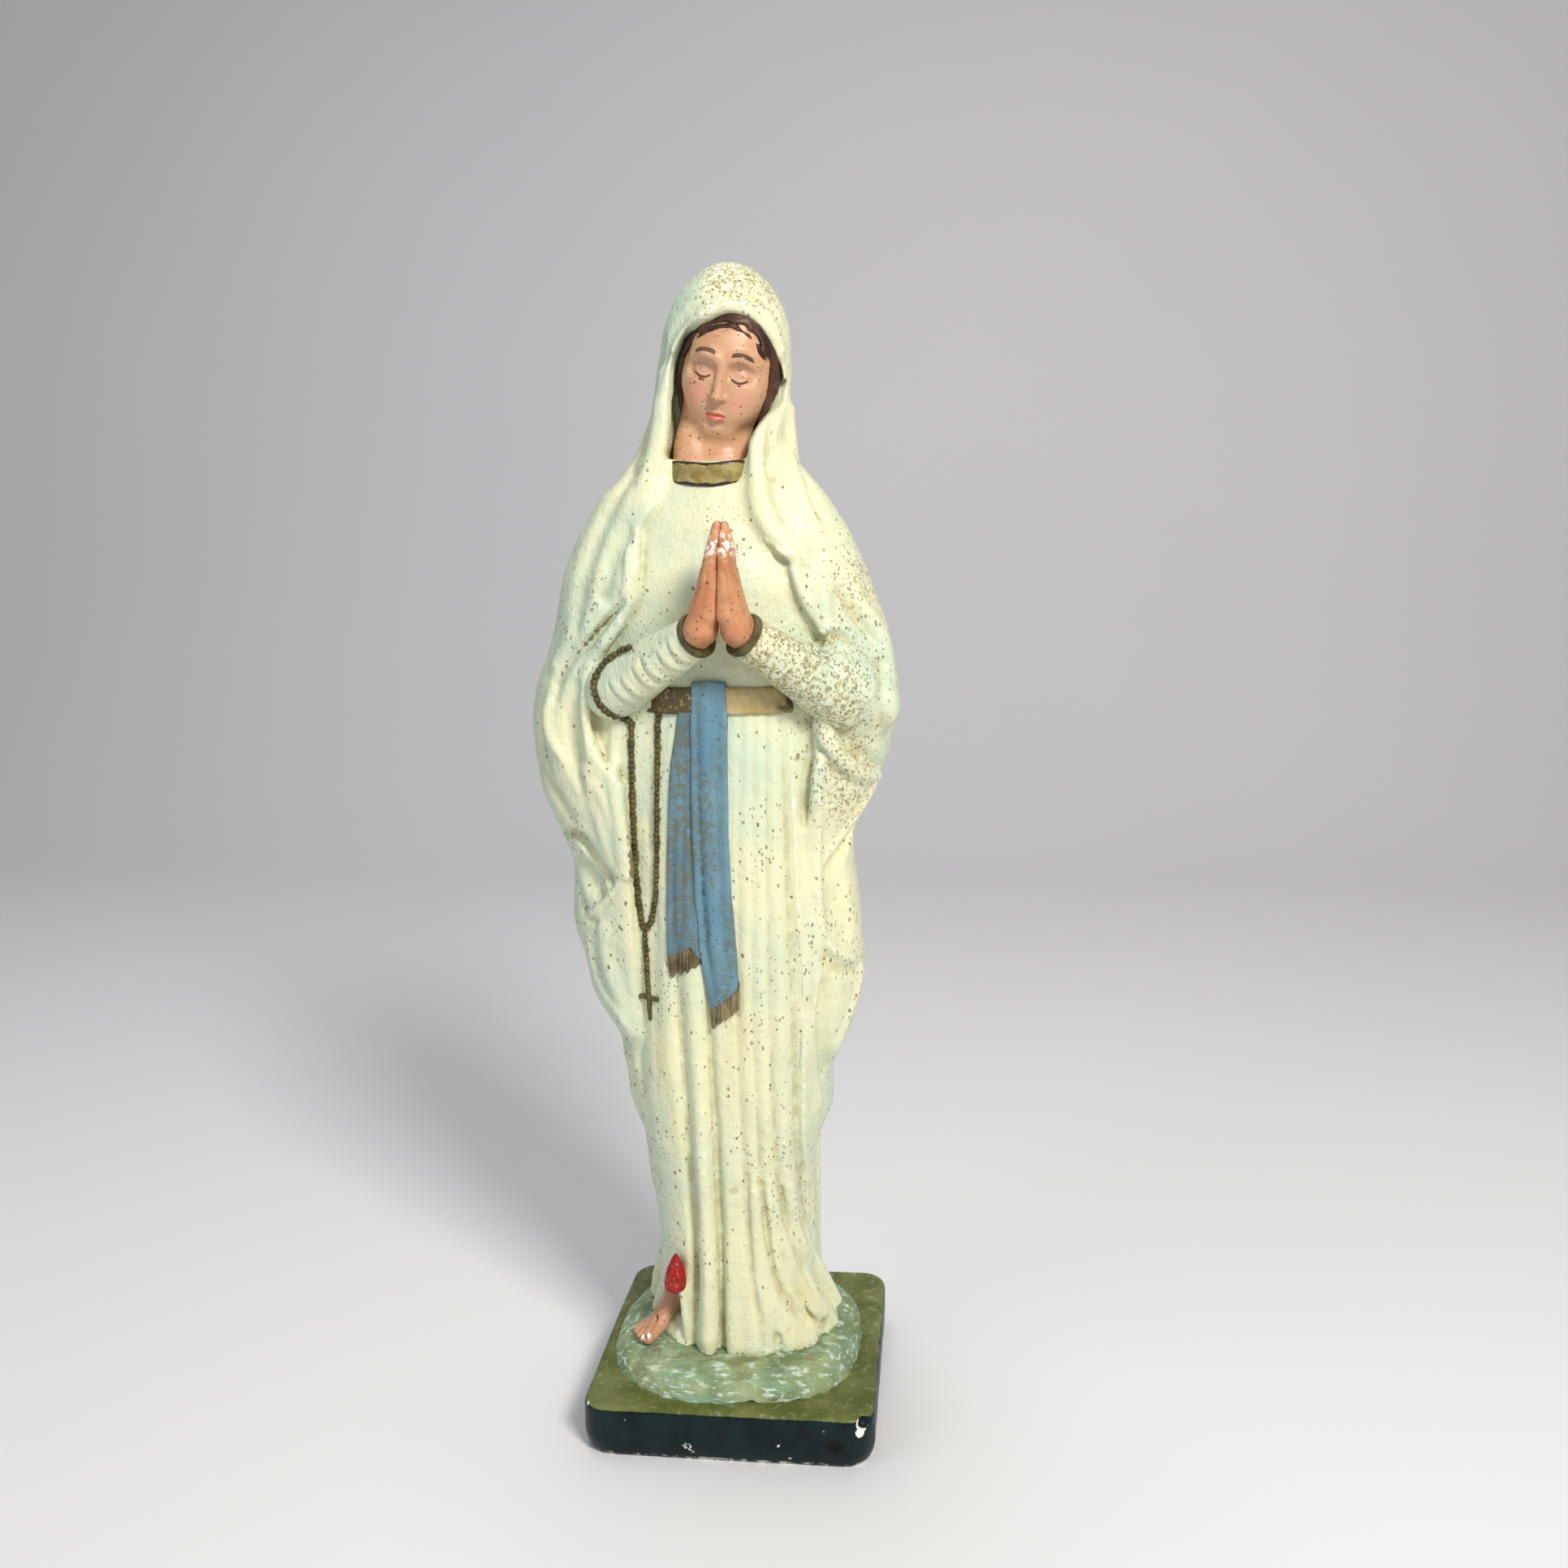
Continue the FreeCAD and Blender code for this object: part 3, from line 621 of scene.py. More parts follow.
def paint(name, base, second, dark=(0.06, 0.045, 0.02), specks=0.20, scale=90.0, rough=0.5,
          dirt=0.8, stains=0.0, clean=0.48):
    """Brushed paint in two tones with painted shade and dirt in its hollows, dark specks, and dark stains
    where asked.
    """
    n = Nodes(name)
    tone = n.ramp(n.noise(scale, 4.0, 0.6, n.stretch((1, 1, 0.45))), 0.35, 0.68)
    colour = n.mix(tone, base, second)
    hollow = n.value("hollow")
    grain = n.ramp(n.noise(520.0, 4.0, 0.65), 0.30, 0.62)
    # dirt sets how strongly the hollows darken: painted shade and dirt together.
    colour = n.mix(n.times(n.times(n.ramp(hollow, 0.03, 0.45), grain), dirt), colour, dark)
    fine = speckles(n, 600.0, 0.30, specks)
    colour = n.over(colour, dark, fine, 0.8)
    if stains:
        patch = n.times(n.ramp(n.noise(30.0, 2.0, 0.5, n.stretch((1.6, 1, 0.6))), clean, clean + 0.14),
                        n.ramp(n.noise(260.0, 4.0, 0.7), 0.40, 0.58))
        colour = n.mix(n.times(patch, stains), colour, (0.13, 0.15, 0.11))
    n.bump((n.noise(300.0, 4.0), 0.22), (n.noise(1100.0, 2.0), 0.06))
    return n.finish(colour, n.math("ADD", rough - 0.08, n.times(grain, 0.16)))


# ---------------------------------------------------------------- gown
def pleat(x, z, path, width, depth):
    """A valley, or with a negative depth a rib, up the front. path holds (z, x, share of the depth)."""
    table = np.array(path, float)
    table = table[np.argsort(table[:, 0])]
    middle = np.interp(z.ravel(), table[:, 0], table[:, 1]).astype(F4)
    share = np.interp(z.ravel(), table[:, 0], table[:, 2]).astype(F4)
    return depth * share * np.exp(-(((x - middle) / width) ** 2))


# The folds of the skirt's front: width, depth, whether it grows calmer above, and its path.
PLEATS = [
    (3.2, 5.4, False, [(36, -22, 1), (56, -21, 1), (90, -19, 1), (129, -20.5, 0.8), (232, -24, 0.5),
                       (300, -26, 0)]),
    (2.9, 4.6, False, [(36, -7, 1.5), (50, -7.5, 1.3), (104, -7, 1), (157, -7.5, 0.9), (217, -9, 0.6),
                       (300, -10, 0)]),
    (5.5, -3.2, False, [(36, -14, 0.6), (60, -14, 1), (140, -14, 1), (235, -16, 0.4), (300, -16, 0)]),
    (1.9, 1.9, True, [(62, 9, 0), (85, 9, 0.8), (131, 7, 1), (221, 6, 0.9), (300, 8, 0.5), (384, 11, 0.7)]),
    (2.0, 2.2, True, [(40, 22, 1.6), (60, 20, 1.2), (91, 17, 0.9), (144, 15, 0.8), (233, 14, 0.7),
                      (300, 15, 0.6), (384, 17, 0.8)]),
    (2.4, 2.6, True, [(55, 45, 1.6), (65, 36, 1.8), (91, 26, 1.2), (144, 23, 1.0), (233, 22, 1),
                      (300, 22, 0.9), (384, 23, 1)]),
    (2.2, 2.6, True, [(72, 51, 1.4), (83, 43, 1.5), (103, 36, 1.3), (155, 33, 1), (232, 33, 1.0),
                      (300, 31, 1), (384, 29, 1)]),
    (4.5, -1.2, True, [(60, 3, 0), (130, 0, 0.6), (221, -1, 0.6), (300, 0, 0)]),
    (2.6, -1.0, True, [(80, 14, 0), (130, 12, 0.8), (230, 10, 0.7), (384, 14, 0.5)]),
    (2.6, -1.1, True, [(80, 23, 0), (130, 19, 0.8), (230, 18, 0.8), (384, 20, 0.6)]),
    (3.0, -1.9, True, [(100, 31, 0), (150, 28, 0.9), (230, 28, 1), (384, 26, 0.8)]),
    (2.6, -2.4, False, [(120, 38, 0), (160, 38, 1), (232, 39, 1), (384, 34, 1)]),
    (3.2, 1.3, False, [(150, -38, 0), (230, -37, 0.7), (300, -36, 1), (378, -37, 0.8)]),
    (2.5, -1.0, False, [(150, -46, 0), (230, -47, 0.8), (300, -47, 1), (378, -45, 0.6)]),
]


def gown_field(x, y, z):
    """The gowned body: a plain form with the skirt's upright folds pressed into its front."""
    boxy = np.clip((z - 110) / 60, 0, 1) * np.clip((425 - z) / 30, 0, 1)
    d = oval(x, y, z, ROBE, 2.25 + 0.85 * boxy)
    calm = np.interp(z.ravel(), (70, 120, 190, 384), (1.0, 0.75, 0.5, 0.42)).astype(F4)
    folds = 0
    for width, depth, calmer_above, path in PLEATS:
        folds = folds + (calm if calmer_above else 1) * pleat(x, z, path, width, depth)
    above = np.clip((392 - z) / 6, 0, 1)
    front = np.clip((-y - 2) / 14, 0, 1)
    return d + folds * above * front


def gown_hem(c):
    """The skirt's foot: lobes that spread on the ground, and the arch over the bare foot."""
    for x, y, r in ((-15, -33, 6.0), (2, -36, 4.5), (11, -37.5, 4.8), (19, -33.5, 4.5), (31, -27, 5.0),
                    (39, -21, 4.5)):
        c.stroke([(x * 0.8, y + 5.5, 88), (x * 0.93, y + 2.5, 60), (x, y, 43)], [1.0, r * 0.8, r], 5.0)
    c.stroke([(38, -18, 72), (44, -13, 56), (49, -8, 44)], [1.5, 3.6, 4.8], 4.0)
    c.stroke([(36, -8, 90), (43, -3, 70), (50, 2, 50)], [1.5, 3.4, 4.5], 4.0)
    c.carve([(25, -38, 38), (20, -33, 56), (17, -31, 76)], [1.6, 1.4, 0.8], 3.5)
    c.carve([(47, -20, 38), (37, -22, 58), (28, -27, 84)], [1.6, 1.6, 0.9], 3.5)
    c.carve([(56, -7, 44), (45, -10, 66), (38, -14, 92)], [1.6, 1.6, 0.8], 3.5)
    c.carve([(-7.5, -36, 40), (-7.5, -33, 60), (-7, -36, 90)], [3.0, 2.2, 1.0], 2.0)
    c.furrow([(15, 135), (17, 105), (21, 82), (28, 65), (38, 53)], [1.2, 1.8, 2.4, 2.8, 2.0],
             [0.6, 1.6, 2.6, 2.8, 1.2], 2.5)
    c.furrow([(25, 130), (28, 105), (32, 88), (37, 74), (41, 64)], [1.0, 1.6, 2.2, 2.4, 1.4],
             [0.5, 1.4, 2.2, 2.2, 1.0], 2.0)
    c.furrow([(8, 140), (9, 110), (11, 80), (15, 56), (18, 44)], [1.0, 1.4, 1.8, 2.2, 1.6],
             [0.5, 1.2, 1.6, 1.8, 1.2], 2.0)
    c.ridge([(21, 125), (24, 100), (29, 80), (36, 64), (44, 52)], [2.0, 2.8, 3.6, 4.0, 3.0],
            [0.6, 1.2, 1.8, 2.0, 1.0], 4.0)
    c.ridge([(30, 130), (32, 108), (35, 92), (38, 80)], [1.6, 2.2, 2.8, 2.2], [0.5, 1.2, 1.5, 0.8], 3.0)
    c.ridge([(12, 130), (13, 100), (15, 75), (20, 52)], [2.0, 3.0, 4.0, 4.0], [0.5, 1.0, 1.4, 1.4], 4.0)
    c.ridge([(-14.5, 150), (-14, 110), (-13.5, 75), (-14, 48)], [3.0, 4.0, 4.5, 5.0], [0.5, 0.8, 1.0, 1.2],
            4.0)
    c.stroke([(-45, 8, 82), (-48.5, 12, 60), (-51, 16, 44)], [1.5, 4.0, 5.0], 4.0)
    c.carve([(-52, -38, 44), (-44, -30, 52), (-36, -20, 58), (-36, -4, 56)], [11, 12, 11, 9], 3.0)
    c.carve([(-30, -36, 46), (-28.5, -34, 60), (-29, -36, 74)], [6.5, 5.0, 2.0], 2.5)
    c.stroke([(-27, -30, 44), (-27.5, -32, 60), (-29, -33, 76)], [2.4, 2.2, 1.8], 2.5)


def make_gown():
    """Skirt and bodice, one form parted under the belt."""
    shapes = []
    for name, low, high in (("skirt", 34.0, BELT_Z), ("bodice", BELT_Z, GOWN_TOP)):
        c = Clay((-60, -56, low - 3), (62, 50, high + 3), 1.0)
        x, y, z = c.grid()
        c.d = gown_field(x, y, z)
        if name == "skirt":
            gown_hem(c)
            c.d = trim(c.d, z - BELT_Z, 0.1)
            c.d = trim(c.d, MOUND_TOP - 1.5 - z, 0.5)
        else:
            c.ridge([(-30, 488), (-34, 460), (-36, 430)], [2, 4, 2], 0.8, 4)
            c.ridge([(20, 480), (28, 450), (32, 425)], [2, 4, 2], 0.8, 4)
            c.furrow([(-12, 400), (-16, 430), (-14, 460)], [2, 3, 2], 0.5, 3)
            c.d = trim(c.d, z - (GOWN_TOP - 1.0), 3.0)
            c.d = trim(c.d, BELT_Z - z, 0.1)
        shapes.append(c)
    return shapes


# ---------------------------------------------------------------- mantle and hood
def opening(x, z, right, left, k):
    """How far a point is inside the mantle's opening, seen from the front. right and left hold (z, x)."""
    a, b = np.array(sorted(right)), np.array(sorted(left))
    low = np.interp(z.ravel(), a[:, 0], a[:, 1]).astype(F4)
    high = np.interp(z.ravel(), b[:, 0], b[:, 1]).astype(F4)
    return trim(low - x, x - high, k)


# The mantle's front edges: (z, x).
RIGHT_EDGE = [
    (100, -45), (150, -48), (205, -50), (222, -48), (300, -48), (345, -49), (358, -60), (377, -68),
    (395, -67), (408, -62), (418, -54), (436, -43.5), (455, -40), (472, -41), (486, -32), (500, -28),
    (515, -27),
]
LEFT_EDGE = [
    (100, 36), (165, 38), (200, 39.5), (258, 40.5), (320, 41), (350, 45), (366, 49), (386, 50), (408, 56),
    (417, 50), (430, 42), (440, 38), (455, 33), (466, 25), (478, 18.5), (500, 14), (515, 13),
]


def make_mantle():
    """Mantle and hood in one cloth, from the crown to the ground behind."""
    c = Clay((-108, -58, 36), (90, 56, 604), 1.1)
    crown_foot, opening_top, backing_top, fillet_top, legs_top = 553, 508, 503, 488, 124  # heights
    x, y, z = c.grid()
    square = 2.25 - 0.25 * np.clip((z - 500) / 45, 0, 1)  # rounder upwards, to meet the crown's egg
    d = oval(x, y, z, MANTLE, square)
    waves = 1.6 * np.sin((x + 0.06 * (z - 200)) / 8.5) + 0.8 * np.sin((x - 0.04 * z) / 4.7)
    d = d - waves * np.clip((y - 8) / 26, 0, 1) * np.clip((450 - z) / 220, 0, 1)
    d = trim(d, z - crown_foot, 0.5)
    d = join(d, egg(x, y, z, (-0.6, 4.0, 552.5), (32.7, 37.0, 47.6), 4.5), 1.5)

    # Cut away: the opening down the front, the cloth in front of the legs, the face and the throat.
    front = opening(x, z, RIGHT_EDGE, LEFT_EDGE, 2.0)
    front = trim(front, z - opening_top, 3.0)
    front = trim(front, y - 2, 6.0)
    legs = trim(y - 1.0, z - legs_top, 8.0)
    face = egg(x, y * 0.25, z, (1.4, 0.0, 541.5), (27.0, 60.0, 32.0), 9.0)
    neck = slab(x, y, z, (-27, -80, 490), (14.5, 20, 535), 3.0)
    face = trim(join(face, neck, 6.0), y - 4, 6.0)
    cloth = trim(trim(trim(d, -face, 4.0), -front, 4.5), -legs, 4.0)

    # Behind the edges the form goes on, sunk by inner, and a fillet joins the cloth to the gown.
    inner = np.interp(z.ravel(), (112, 130, 150, 350, 385, 415, 440, 500),
                      (30, 9, 7, 10, 12, 9, 5.5, 5.5)).astype(F4)
    c.d = join(cloth, trim(d + inner, z - backing_top, 2.0), 4.0)
    skin = trim(gown_field(x, y, z) + 1.6, z - fillet_top, 2.0)
    skin = trim(trim(skin, 44 - z, 2.0), c.d - 8.0, 2.0)  # only close to the cloth and clear of the ground
    c.d = join(c.d, skin, 10.0)
    c.relief, c.soft = 1.35, 1.8
    drape_right(c)
    drape_left(c)
    drape_hood(c)
    drape_back(c)
    c.d = trim(c.d, MOUND_TOP - 1.0 - z, 0.5)
    return c


def drape_right(c):
    """Folds of the mantle on the figure's right."""
    c.ridge([(-25, 500), (-33, 486), (-41, 474), (-42, 466)], [3.5, 4, 4, 3], 2.2, 2.5)
    c.ridge([(-44, 472), (-45, 462), (-44, 448), (-46, 438)], [2.2, 2.2, 2.0, 2.2], 1.6, 1.5)
    c.ridge([(-41, 470), (-40.5, 455), (-42, 440), (-50, 425), (-60, 411), (-67, 398), (-68.5, 380),
             (-66, 360)], [1.8, 1.8, 1.8, 2.5, 3, 3.2, 3.0, 2.2], 1.6, 1.6)
    c.furrow([(-47, 436), (-55, 428), (-64, 418), (-76, 408)], [1.5, 2.6, 3.0, 1.4], [0.8, 3.2, 3.2, 0.8],
             1.8)
    c.furrow([(-72, 420), (-82, 402), (-86, 388)], [1.5, 3, 1.5], 1.0, 3)
    c.ridge([(-60, 432), (-72, 420), (-84, 404)], [3, 5, 3], 1.4, 4)
    c.ridge([(-86, 392), (-89.5, 380), (-88, 368), (-82, 358)], [1.5, 3, 3, 1.2], 1.8, 2)
    c.furrow([(-74, 394), (-77, 378), (-76, 360), (-71, 345)], [2, 5, 6, 2], [0.6, 3.0, 3.5, 0.6], 3)
    c.furrow([(-94, 380), (-97, 366), (-92, 350)], [1.5, 3, 1.5], 1.0, 3)
    c.ridge([(-68, 352), (-62, 336), (-58, 318), (-53, 302)], [2.5, 4, 4, 2.5], 1.6, 3)
    c.furrow([(-66, 340), (-60, 322), (-57, 306)], [1.5, 2.5, 1.5], 1.0, 2.5)
    c.ridge([(-54, 372), (-55, 350), (-51, 320), (-49, 300)], [1.5, 2.4, 2.4, 1.6], 1.2, 2)
    c.furrow([(-100, 352), (-88, 338), (-80, 326)], [1.5, 3, 1.5], 1.2, 3)
    c.furrow([(-88, 318), (-74, 316), (-64, 302), (-58, 293)], [2.0, 4.0, 4.0, 2.0], [2.0, 4.0, 4.0, 1.0],
             1.5)
    c.furrow([(-80, 304), (-72, 295), (-66, 286)], [3, 6, 3], 3.0, 3)
    c.furrow([(-80, 286), (-76, 276), (-70, 272)], [2.0, 3.0, 2.0], 1.6, 2)
    c.ridge([(-50, 299), (-58, 289), (-68, 279), (-74, 274)], [1.6, 2.2, 2.2, 1.5], 1.4, 1.5)
    c.furrow([(-52, 296), (-62, 283), (-72, 276)], [0.8, 1.2, 0.8], 0.8, 1.0)
    c.ridge([(-64, 270), (-62, 250), (-56, 230), (-52, 216)], [2, 4, 4, 2], 1.2, 3)
    c.ridge([(-73, 262), (-72, 247), (-67, 234), (-57, 223), (-52, 212)], [2, 2.4, 2.6, 2.6, 1.8], 1.4, 1.5)
    c.furrow([(-79, 230), (-70, 218), (-62, 208), (-56, 196)], [3.5, 5, 4.5, 2.5], [4.5, 5.0, 4.0, 1.0], 1.5)
    c.furrow([(-57, 206), (-56, 185), (-52, 165)], [1.5, 2.5, 1.5], 1.2, 2.5)


def drape_left(c):
    """Folds of the mantle on the figure's left, which falls over the elbow."""
    c.ridge([(27, 545), (25, 530), (19, 510), (18.5, 492), (22, 475), (30, 463)],
            [2.0, 2.6, 3.6, 4.8, 5.0, 3.0], [0.1, 0.15, 0.3, 0.8, 1.0, 0.2], 4)
    c.ridge([(31, 528), (31, 510), (34, 495), (39, 480), (45, 463)], [2.5, 3.5, 4.5, 4.5, 2.5],
            [0.1, 0.15, 0.5, 0.7, 0.1], 4)
    c.furrow([(24, 508), (27, 490), (31, 474)], [1.4, 2.2, 1.2], 0.8, 2)
    c.furrow([(38, 506), (43, 490), (48, 476)], [1.5, 3.0, 1.2], 0.7, 3)
    c.ridge([(23, 465), (28, 460), (35, 457.5), (44, 456)], [1.4, 1.8, 2.0, 1.4], 1.4, 0.7)
    c.furrow([(44, 474), (47, 460), (49, 444)], [1.4, 3.0, 1.6], 1.1, 3)
    c.furrow([(24, 461), (31, 455), (39, 452), (46, 452)], [1.2, 1.8, 1.6, 1.0], 1.4, 1.2)
    c.ridge([(35, 458), (38, 444), (43, 428), (50, 416)], [1.8, 2.2, 2.2, 1.6], 0.6, 1.8)
    c.ridge([(47, 452), (50, 436), (52, 424)], [1.8, 3, 1.6], 1.0, 3)
    c.furrow([(58, 440), (66, 428), (76, 414)], [1.4, 2.6, 1.4], 1.4, 2.5)
    c.ridge([(50, 421), (57, 423), (64, 418)], [1.2, 1.8, 1.2], 1.4, 1.5)
    c.ridge([(52, 413), (60, 414), (68, 408)], [1.2, 1.8, 1.2], 1.2, 1.5)
    c.furrow([(50, 417), (58, 418), (66, 413)], [0.8, 1.2, 0.8], 0.8, 1.2)
    c.ridge([(66, 436), (76, 416), (81, 396)], [2, 5, 2.5], 1.2, 4)
    c.stroke([(47, -40, 402), (60, -34.5, 395.5), (74, -24, 384)], [10.5, 14.0, 13.0], 8.0)
    c.furrow([(78, 404), (80, 388), (78, 372)], [1.5, 3.5, 1.5], 1.0, 3)
    c.furrow([(57, 378), (63, 366), (70, 356), (76, 350)], [2.5, 5.5, 5, 2], [1.0, 3.4, 3.0, 0.6], 2.5)
    c.ridge([(50, 384), (50.5, 370), (58, 358), (66, 350), (73, 346)], [2.5, 3.6, 4, 3.6, 2.2], 1.5, 2.4)
    c.furrow([(47, 366), (55, 352), (63, 344)], [1.4, 2.2, 1.2], 1.2, 2)
    c.ridge([(47, 376), (47.5, 350), (46, 320), (45, 290)], [1.6, 2.2, 2.2, 1.8], 1.4, 1.8)
    c.ridge([(76, 346), (67, 331), (58, 318), (49, 304)], [1.6, 2.0, 2.0, 1.5], 1.2, 1.5)
    c.furrow([(74, 332), (65, 320), (57, 308), (50, 296)], [3.0, 5.0, 4.5, 2.0], [3.0, 4.5, 3.5, 1.0], 1.5)
    c.furrow([(56, 300), (57, 280), (60, 268)], [4, 6, 4], 1.6, 4)
    c.ridge([(46, 290), (47.5, 270), (53, 259), (62, 252)], [1.5, 2.2, 2.4, 1.6], 1.6, 1.8)
    c.furrow([(50, 254), (57, 247), (65, 244)], [1.5, 2.5, 1.5], 1.4, 2.5)
    c.ridge([(45, 270), (45, 240), (44, 210), (44, 170)], [1.4, 2.2, 2.2, 1.6], 1.6, 1.6)
    c.furrow([(49, 240), (49, 215), (47, 190)], [2, 4, 2], 1.4, 3)
    c.ridge([(66, 244), (62, 225), (54, 206), (48, 190)], [1.5, 2.4, 2.4, 1.5], 1.0, 2)


def drape_hood(c):
    """The rolled band round the face and the soft folds of the hood."""
    c.ridge([(-24, 520), (-25, 537), (-21, 554), (-12, 568), (4, 576), (17, 574), (25, 565), (28, 556)],
            [2.0, 2.6, 3.2, 3.8, 4.0, 3.8, 3.0, 2.0], 1.3, 2.5)
    c.furrow([(-31, 538), (-27, 557), (-16, 572), (2, 581), (18, 579.5), (27, 572)],
             [1.2, 2.0, 2.4, 2.6, 2.4, 1.2], [0.3, 0.9, 1.2, 1.2, 1.0, 0.3], 2.2)
    c.furrow([(-30, 560), (-34, 540), (-38, 520), (-46, 503)], [1.5, 3, 3, 1.5], 0.9, 3.5)
    c.ridge([(-28, 545), (-30, 525), (-33, 508), (-38, 494)], [2, 3.2, 3.2, 2], 1.0, 3)
    c.furrow([(27, 542), (26.5, 528), (25, 512), (25, 496)], [1.2, 2.2, 2.4, 1.5], 0.8, 2.5)
    c.furrow([(-26, 497), (-40, 480), (-52, 462), (-58, 440)], [1.5, 3.5, 4, 2], 1.2, 4)
    c.furrow([(-46, 498), (-60, 476), (-70, 450), (-74, 425)], [1.5, 4, 4, 2], 1.0, 4)


def drape_back(c):
    """Long folds that fall from the shoulders down the back."""
    for top, foot, size in ((-30, -38, 5), (-14, -20, 4), (2, 0, 5), (17, 20, 4), (33, 36, 5)):
        middle = (top + foot) / 2
        c.ridge([(top * 0.8, 455 - abs(top)), (top, 380), (middle, 250), (foot, 120), (foot, 60)],
                [1.5, size, size + 1, size, size - 1], [0.1, 0.9, 1.6, 1.6, 0.8], 4, side=1)
    for top, foot, size in ((-22, -29, 3), (-6, -10, 3.4), (10, 10, 3), (25, 28, 3.2)):
        c.furrow([(top * 0.8, 440 - abs(top)), (top, 370), ((top + foot) / 2, 240), (foot, 110), (foot, 50)],
                 [1.0, size, size, size, size - 1], [0.1, 0.8, 1.4, 1.4, 0.8], 3, side=1)
    c.furrow([(-34, 500), (0, 484), (26, 498)], [1.5, 5, 1.5], 1.0, 5, side=1)


def split_mantle(c, material):
    """Meshes the cloth once and parts it into its four castings, so that the joints don't show."""
    rng = np.random.default_rng(11)
    c.roughen(0.36, 17.0, rng)
    c.roughen(0.15, 5.5, rng)
    vertices, quads, normals, hollow = c.mesh(3.5)
    middle = vertices[quads].mean(axis=1)
    hood = middle[:, 2] > HOOD_FOOT
    back = ~hood & (middle[:, 1] > 0)
    wings = ~hood & ~back
    parts = {
        "hood": hood,
        "mantle_back": back,
        "mantle_right": wings & (middle[:, 0] < -8),
        "mantle_left": wings & (middle[:, 0] >= -8),
    }
    values = {"hollow": hollow, "grime": grime(vertices), "dusty": dusty(vertices)}
    for name, chosen in parts.items():
        used, renumbered = np.unique(quads[chosen], return_inverse=True)
        kept = {key: value[used] for key, value in values.items()}
        ob = object_from(f"{name}_cloth", vertices[used], renumbered.reshape(-1, 4), normals[used], kept,
                         material)
        declare(ob, name)


def near_runs(vertices, runs, width):
    """1 near any of the runs of points (x, z) and 0 further than width, for the front of the figure."""
    result = np.zeros(len(vertices), F4)
    x, z = vertices[:, 0], vertices[:, 2]
    for run in runs:
        path = smooth_path(run)
        for a, b in zip(path, path[1:]):
            way = b - a
            t = np.clip(((x - a[0]) * way[0] + (z - a[1]) * way[1]) / max(way @ way, 1e-9), 0, 1)
            gap = np.hypot(x - a[0] - t * way[0], z - a[1] - t * way[1])
            result = np.maximum(result, np.clip(1 - gap / width, 0, 1))
    return result * (vertices[:, 1] < 5)


def grime(vertices):
    """Where the mantle is painted dark: a line along its deepest crease, and round the rosary."""
    crease = near_runs(vertices, [[(-48, 434), (-60, 423), (-72, 411)]], 2.0) * 0.62
    return np.maximum(crease, near_runs(vertices, [LOOP_RUN, *ROSARY_RUNS], 3.2) * 0.9)


def dusty(vertices):
    """Where the mantle is thick with specks: its left arm and pouch, and the crown."""
    x, y, z = vertices.T
    arm = np.exp(-(((x - 56) / 20) ** 2) - ((z - 395) / 30) ** 2)
    pouch = np.exp(-(((x - 60) / 14) ** 2) - ((z - 345) / 26) ** 2)
    crown = np.clip((z - 566) / 20, 0, 1) * np.clip((x + 26) / 25, 0, 1)
    shoulder = np.exp(-(((x - 66) / 18) ** 2) - ((z - 440) / 26) ** 2) * 0.6
    return np.maximum.reduce([arm, pouch, crown * 0.9, shoulder]).astype(F4)


# ---------------------------------------------------------------- arms
def wrist(side):
    """Where a forearm ends. side is -1 for the figure's right."""
    return np.array((4.2 + side * 13.0, -64.0, 420.0))


def elbow(side):
    """Where a forearm begins, inside the mantle."""
    return np.array((-50.0, -38.0, 395.0)) if side < 0 else np.array((55.0, -34.0, 390.0))


def make_sleeve(side):
    """A forearm in a loose sleeve that wrinkles towards the elbow."""
    start, end = elbow(side), wrist(side)
    low = np.minimum(start, end) - 24
    high = np.maximum(start, end) + 20
    c = Clay(low, high, 0.75)
    rear = start + (start - end) * 0.12
    c.stroke([rear, start, (start + end) / 2, end], [14.5, 15.2, 12.8, 10.4], 1.0)
    along = (end - start) / np.linalg.norm(end - start)
    up = np.cross(along, np.array((0, 1.0, 0)))
    up *= np.sign(up[2]) / np.linalg.norm(up)
    out = np.cross(along, up)
    out *= -np.sign(out[1])
    rng = np.random.default_rng(5 + side)
    length = np.linalg.norm(end - start)
    count = 6 if side < 0 else 4
    for i in range(count):
        t = 0.10 + 0.76 * i / (count - 1) + rng.uniform(-0.03, 0.03)
        radius = 15.2 - 4.8 * t
        centre = start + along * length * t
        run, spread = [], 66 if side < 0 else 48
        for angle in np.linspace(-spread, spread * rng.uniform(-0.25, 0.30), 5) + rng.uniform(-10, 10):
            a = math.radians(angle)
            bow = 2.8 * (1 - (angle / 80) ** 2)
            run.append(centre + radius * (math.cos(a) * out + math.sin(a) * up) + along * (2.0 - bow))
        weight = rng.uniform(0.5, 1.0) * (1 if side < 0 else 0.8)
        sizes = [v * weight for v in (0.2, 0.6, 0.8, 0.5, 0.2)]
        c.carve(run, [0.75 * v for v in sizes], 2.0)
        ridge = [p + along * 2.6 - 0.7 * (p - centre) / radius for p in np.array(run)]
        c.stroke(ridge, sizes, 3.0)
    if side > 0:
        c.stroke([start + 15 * up, (start + end) / 2 + 12.5 * up], [1.4, 2.0], 3)
    x, y, z = c.grid()
    plane = (x - end[0]) * along[0] + (y - end[1]) * along[1] + (z - end[2]) * along[2]
    c.d = trim(c.d, plane.astype(F4), 0.8)
    return c


